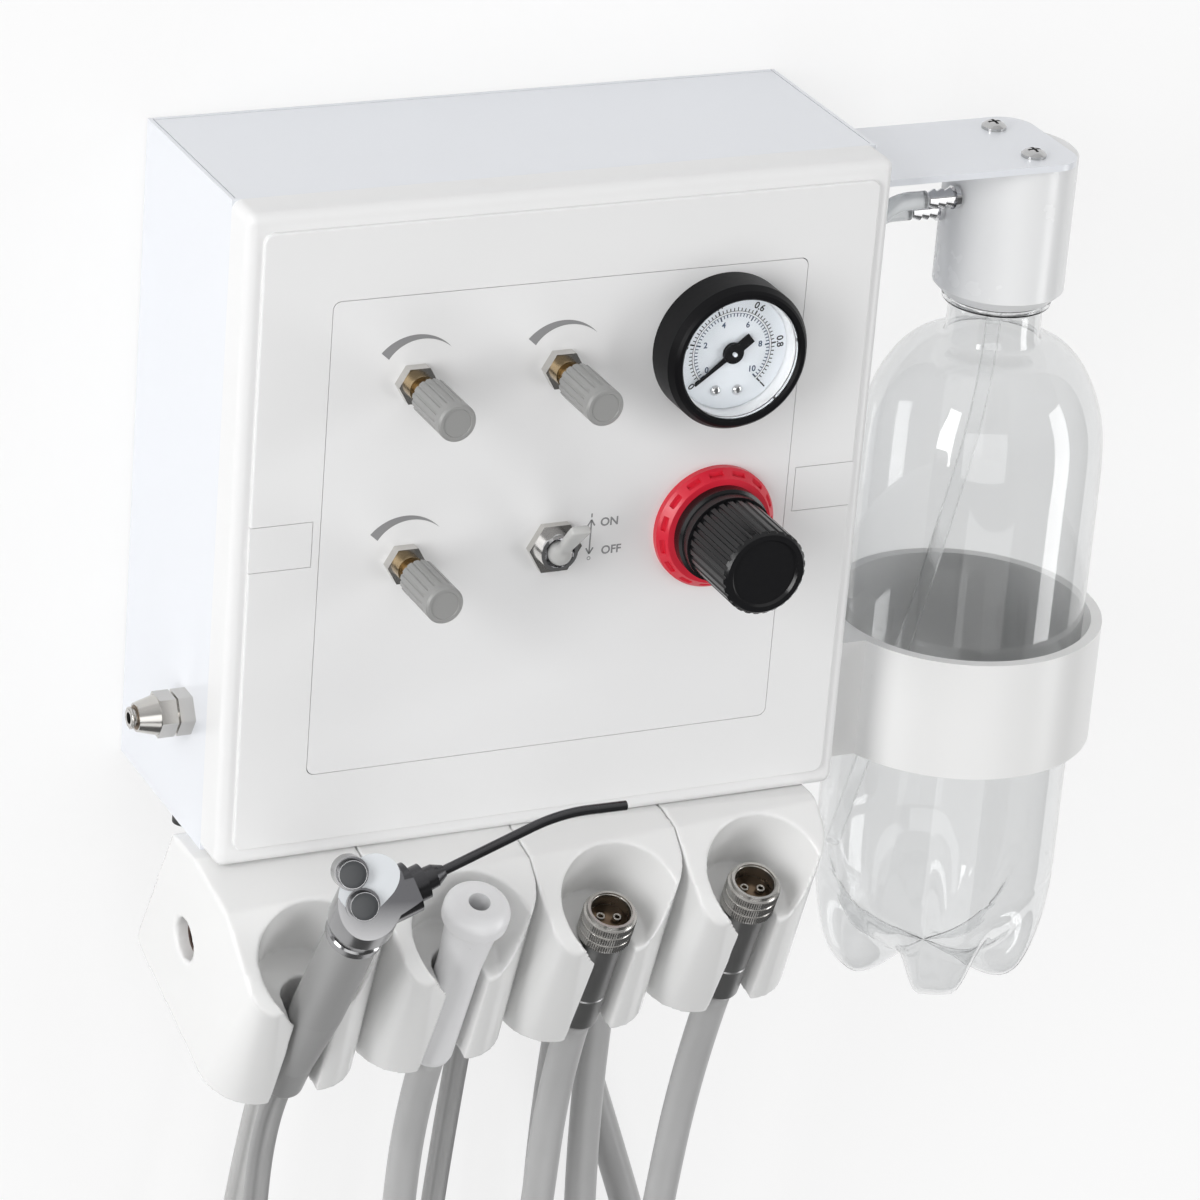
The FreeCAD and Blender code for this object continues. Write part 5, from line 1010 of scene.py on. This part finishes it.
# %% Ticks by Geometry Nodes
GAUGE_X, GAUGE_Z = 0.0483, 0.0490
PIN_OUT = 0.0026
DIAL_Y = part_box("gauge_dial")[0][1] + PIN_OUT
SCALE_START, SCALE_END = -128.3, 135.7


def tick_tree():
    """Bars on an arc about the origin in the XZ plane, from lower left, clockwise, to lower right."""
    made, given = bar_tree("scale_ticks")
    points = made.node("GeometryNodeMeshLine", None, {"Count": given["Count"], "Offset": (0, 0, 0)})
    share = made.node("GeometryNodeInputIndex") / (given["Count"] - 1.0)
    turn = share * math.radians(SCALE_END - SCALE_START) + math.radians(SCALE_START)
    angles = made.node("ShaderNodeCombineXYZ", None, {"Y": turn})
    size = made.node("ShaderNodeCombineXYZ", None, {"X": given["Width"], "Y": INK, "Z": given["Length"]})
    bar = made.node("GeometryNodeMeshCube", None, {"Size": size})
    out_by = made.node("ShaderNodeCombineXYZ", None, {"Z": given["Radius"]})
    shifted = made.node("GeometryNodeTransform", None, {"Geometry": bar, "Translation": out_by})
    return bars_on(made, given, points, shifted, angles)


TICKS = tick_tree()
TICK_ROWS = [("outer_fine", 0.01306, 0.0011, 0.00030, 51), ("outer_half", 0.01318, 0.0013, 0.00026, 11),
             ("outer_main", 0.01330, 0.0015, 0.00046, 6), ("inner_fine", 0.01152, 0.0011, 0.00030, 51),
             ("inner_half", 0.01144, 0.0011, 0.00026, 11), ("inner_main", 0.01125, 0.0014, 0.00046, 6)]
for row, radius, length, width, count in TICK_ROWS:
    ink = ink_black if row.startswith("outer") else ink_blue
    ticks = by_nodes("ticks_" + row, TICKS,
                     {"Radius": radius, "Length": length, "Width": width, "Count": count, "Material": ink})
    ticks.data.transform(Matrix.Translation((GAUGE_X, DIAL_Y - INK / 2, GAUGE_Z)))
    finish_piece(ticks, ink, "unit")
print(len(TICK_ROWS), "rows of ticks")


# %% Numbers of both scales
def dial_angle(share):
    return SCALE_START + (SCALE_END - SCALE_START) * share


def dial_point(radius, share):
    """A point on the dial at a share of the scale's sweep."""
    angle = math.radians(dial_angle(share))
    return GAUGE_X + radius * math.sin(angle), GAUGE_Z + radius * math.cos(angle)


OUTER_MARKS = ["0", "0.2", "0.4", "0.6", "0.8", "1"]
INNER_MARKS = ["0", "2", "4", "6", "8", "10"]
for i in range(6):
    x, z = dial_point(0.0153, i / 5)
    print_text("outer_number_%d" % i, OUTER_MARKS[i], x, z, 0.0021, DIAL_Y, ink_black,
               math.radians(dial_angle(i / 5)))
    x, z = dial_point(0.0091, 0.02 + i / 5 * 0.96)
    print_text("inner_number_%d" % i, INNER_MARKS[i], x, z, 0.0018, DIAL_Y, ink_blue)
print("numbers", OUTER_MARKS, INNER_MARKS)

# %% Lines of the scales and the screws of the dial
ink_white = moulded("ink_white", (0.80, 0.82, 0.84), 0.4, 3000.0, 0.000002)
LINE_ENDS = (SCALE_START - 1.5, SCALE_END + 1.5)
for line, outer, wide, ink in [("scale_ring", 0.01256, 0.0005, ink_white),
                               ("scale_line_outer", 0.01270, 0.00014, ink_black),
                               ("scale_line_inner", 0.01206, 0.00014, ink_blue)]:
    plate(line, [arc_band(GAUGE_X, GAUGE_Z, outer, wide, wide, *LINE_ENDS, 96)], DIAL_Y, ink)
SCREW_HEAD = [(0, 0.0009), (0.0007, 0.00086), (0.0012, 0.0007), (0.0015, 0.0004), (0.0016, 0), (0, 0)]
for side in (-1, 1):
    angle = math.radians(183.7 - side * 16.5)
    place = (GAUGE_X + 0.0123 * math.sin(angle), DIAL_Y, GAUGE_Z + 0.0123 * math.cos(angle))
    lathe("dial_screw_%d" % (side + 2), SCREW_HEAD, place, (0, -1, 0), chrome, "unit")
LINER = [(0.01835, 0.0001), (0.01835, 0.0043), (0.0181, 0.0043), (0.0179, 0.0006), (0.0174, 0.0001),
         (0.01835, 0.0001)]
lathe("dial_liner", LINER, (GAUGE_X, DIAL_Y, GAUGE_Z), (0, -1, 0), ink_white, "unit", 96)
print("two screws and a white liner round the dial")

# %% Dial finish
DIAL_PALE, DIAL_PALER = (0.74, 0.78, 0.82), (0.78, 0.82, 0.86)
dial_finish = Finish("dial_face", DIAL_PALE, 0.35)
cloud = dial_finish.noise(140.0)
dial_finish.set("Base Color", dial_finish.mix(cloud, DIAL_PALE, DIAL_PALER))
dial_finish.set("Roughness", cloud * 0.1 + 0.3)
put_on(nodes["gauge_dial"], dial_finish.material)
print("pale blue-grey dial")

# %% [markdown]
# ## Wall and light
# The unit is shown on white.  One sheet is its wall and runs down behind the hoses.  Part of its light is its own
# wherever the camera, a reflection or a refraction sees it, and the rest is paint that takes the unit's soft
# shadow.  From behind the sheet is see-through, so that the back of the unit can be looked at.

# %% Wall
WALL_Y = 0.0006
WALL_HALF = 3.0
mesh = bmesh.new()
mesh.faces.new([mesh.verts.new((x * WALL_HALF, WALL_Y, z * WALL_HALF))
                for x, z in [(-1, -1), (1, -1), (1, 1), (-1, 1)]])
wall = mesh_object("wall", mesh, smooth=False)
wall_finish = Finish("wall_white", (0.90, 0.90, 0.90), 0.9, Specular_IOR_Level=0.0)
seen = wall_finish.node("ShaderNodeLightPath", out=0)
mirrored = wall_finish.node("ShaderNodeLightPath", out=3)
through = wall_finish.node("ShaderNodeLightPath", out=6)
WALL_GLOW = 0.75
glow_share = (seen + mirrored + through).math("MINIMUM", 1.0) * WALL_GLOW
glow = wall_finish.node("ShaderNodeEmission", None, {"Color": (1.0, 1.0, 1.0), "Strength": 1.0})
mixed = wall_finish.node("ShaderNodeMixShader", None,
                         {0: glow_share, 1: Link(wall_finish.tree, wall_finish.shader.outputs[0]), 2: glow})
behind = wall_finish.node("ShaderNodeNewGeometry", out=6)
nothing = wall_finish.node("ShaderNodeBsdfTransparent", None, {"Color": (1.0, 1.0, 1.0)})
one_sided = wall_finish.node("ShaderNodeMixShader", None, {0: behind, 1: mixed, 2: nothing})
wall_finish.tree.links.new(one_sided.socket, wall_finish.tree.nodes["Material Output"].inputs["Surface"])
put_on(wall, wall_finish.material)
print("wall at y =", WALL_Y, "with its lit side to", wall.data.polygons[0].normal[:])


# %% Lamps
def softbox(name, place, target, size, power):
    """A rectangular area lamp, so wide and so tall, that looks at a target."""
    data = bpy.data.lights.new(name, "AREA")
    data.shape = "RECTANGLE"
    data.size, data.size_y = size
    data.energy = power
    obj = new_object(name, data)
    obj.location = place
    obj.rotation_euler = (Vector(target) - Vector(place)).to_track_quat("-Z", "Y").to_euler()


CASE, HOSES = (0.0, -0.05, -0.1), (0.0, -0.05, -0.2)
softbox("key", (-1.8, -1.0, 0.45), CASE, (0.7, 1.6), 26.0)
softbox("fill", (1.7, -1.2, -0.1), CASE, (0.6, 1.8), 15.0)
softbox("front", (-0.7, -1.9, 0.1), CASE, (1.5, 1.2), 9.5)
softbox("low", (-0.2, -1.6, -1.1), HOSES, (1.4, 0.8), 4.0)
world = bpy.data.worlds.new("room")
world.use_nodes = True
room = Tree(world.node_tree)
height = room.node("ShaderNodeSeparateXYZ", None, {0: room.node("ShaderNodeTexCoord")}, 2)
ROOM = [(0.0, 0.12), (0.40, 0.12), (0.52, 0.06), (0.62, 0.30), (1.0, 0.75)]
stops = [(place, (level, level, level)) for place, level in ROOM]
ramp = room.node("ShaderNodeValToRGB", {"stops": stops}, {0: height * 0.5 + 0.5})
plug(room.tree, room.tree.nodes["Background"].inputs["Color"], ramp)
scene.world = world
scene.view_settings.view_transform = "Standard"
print("four lamps and the room")
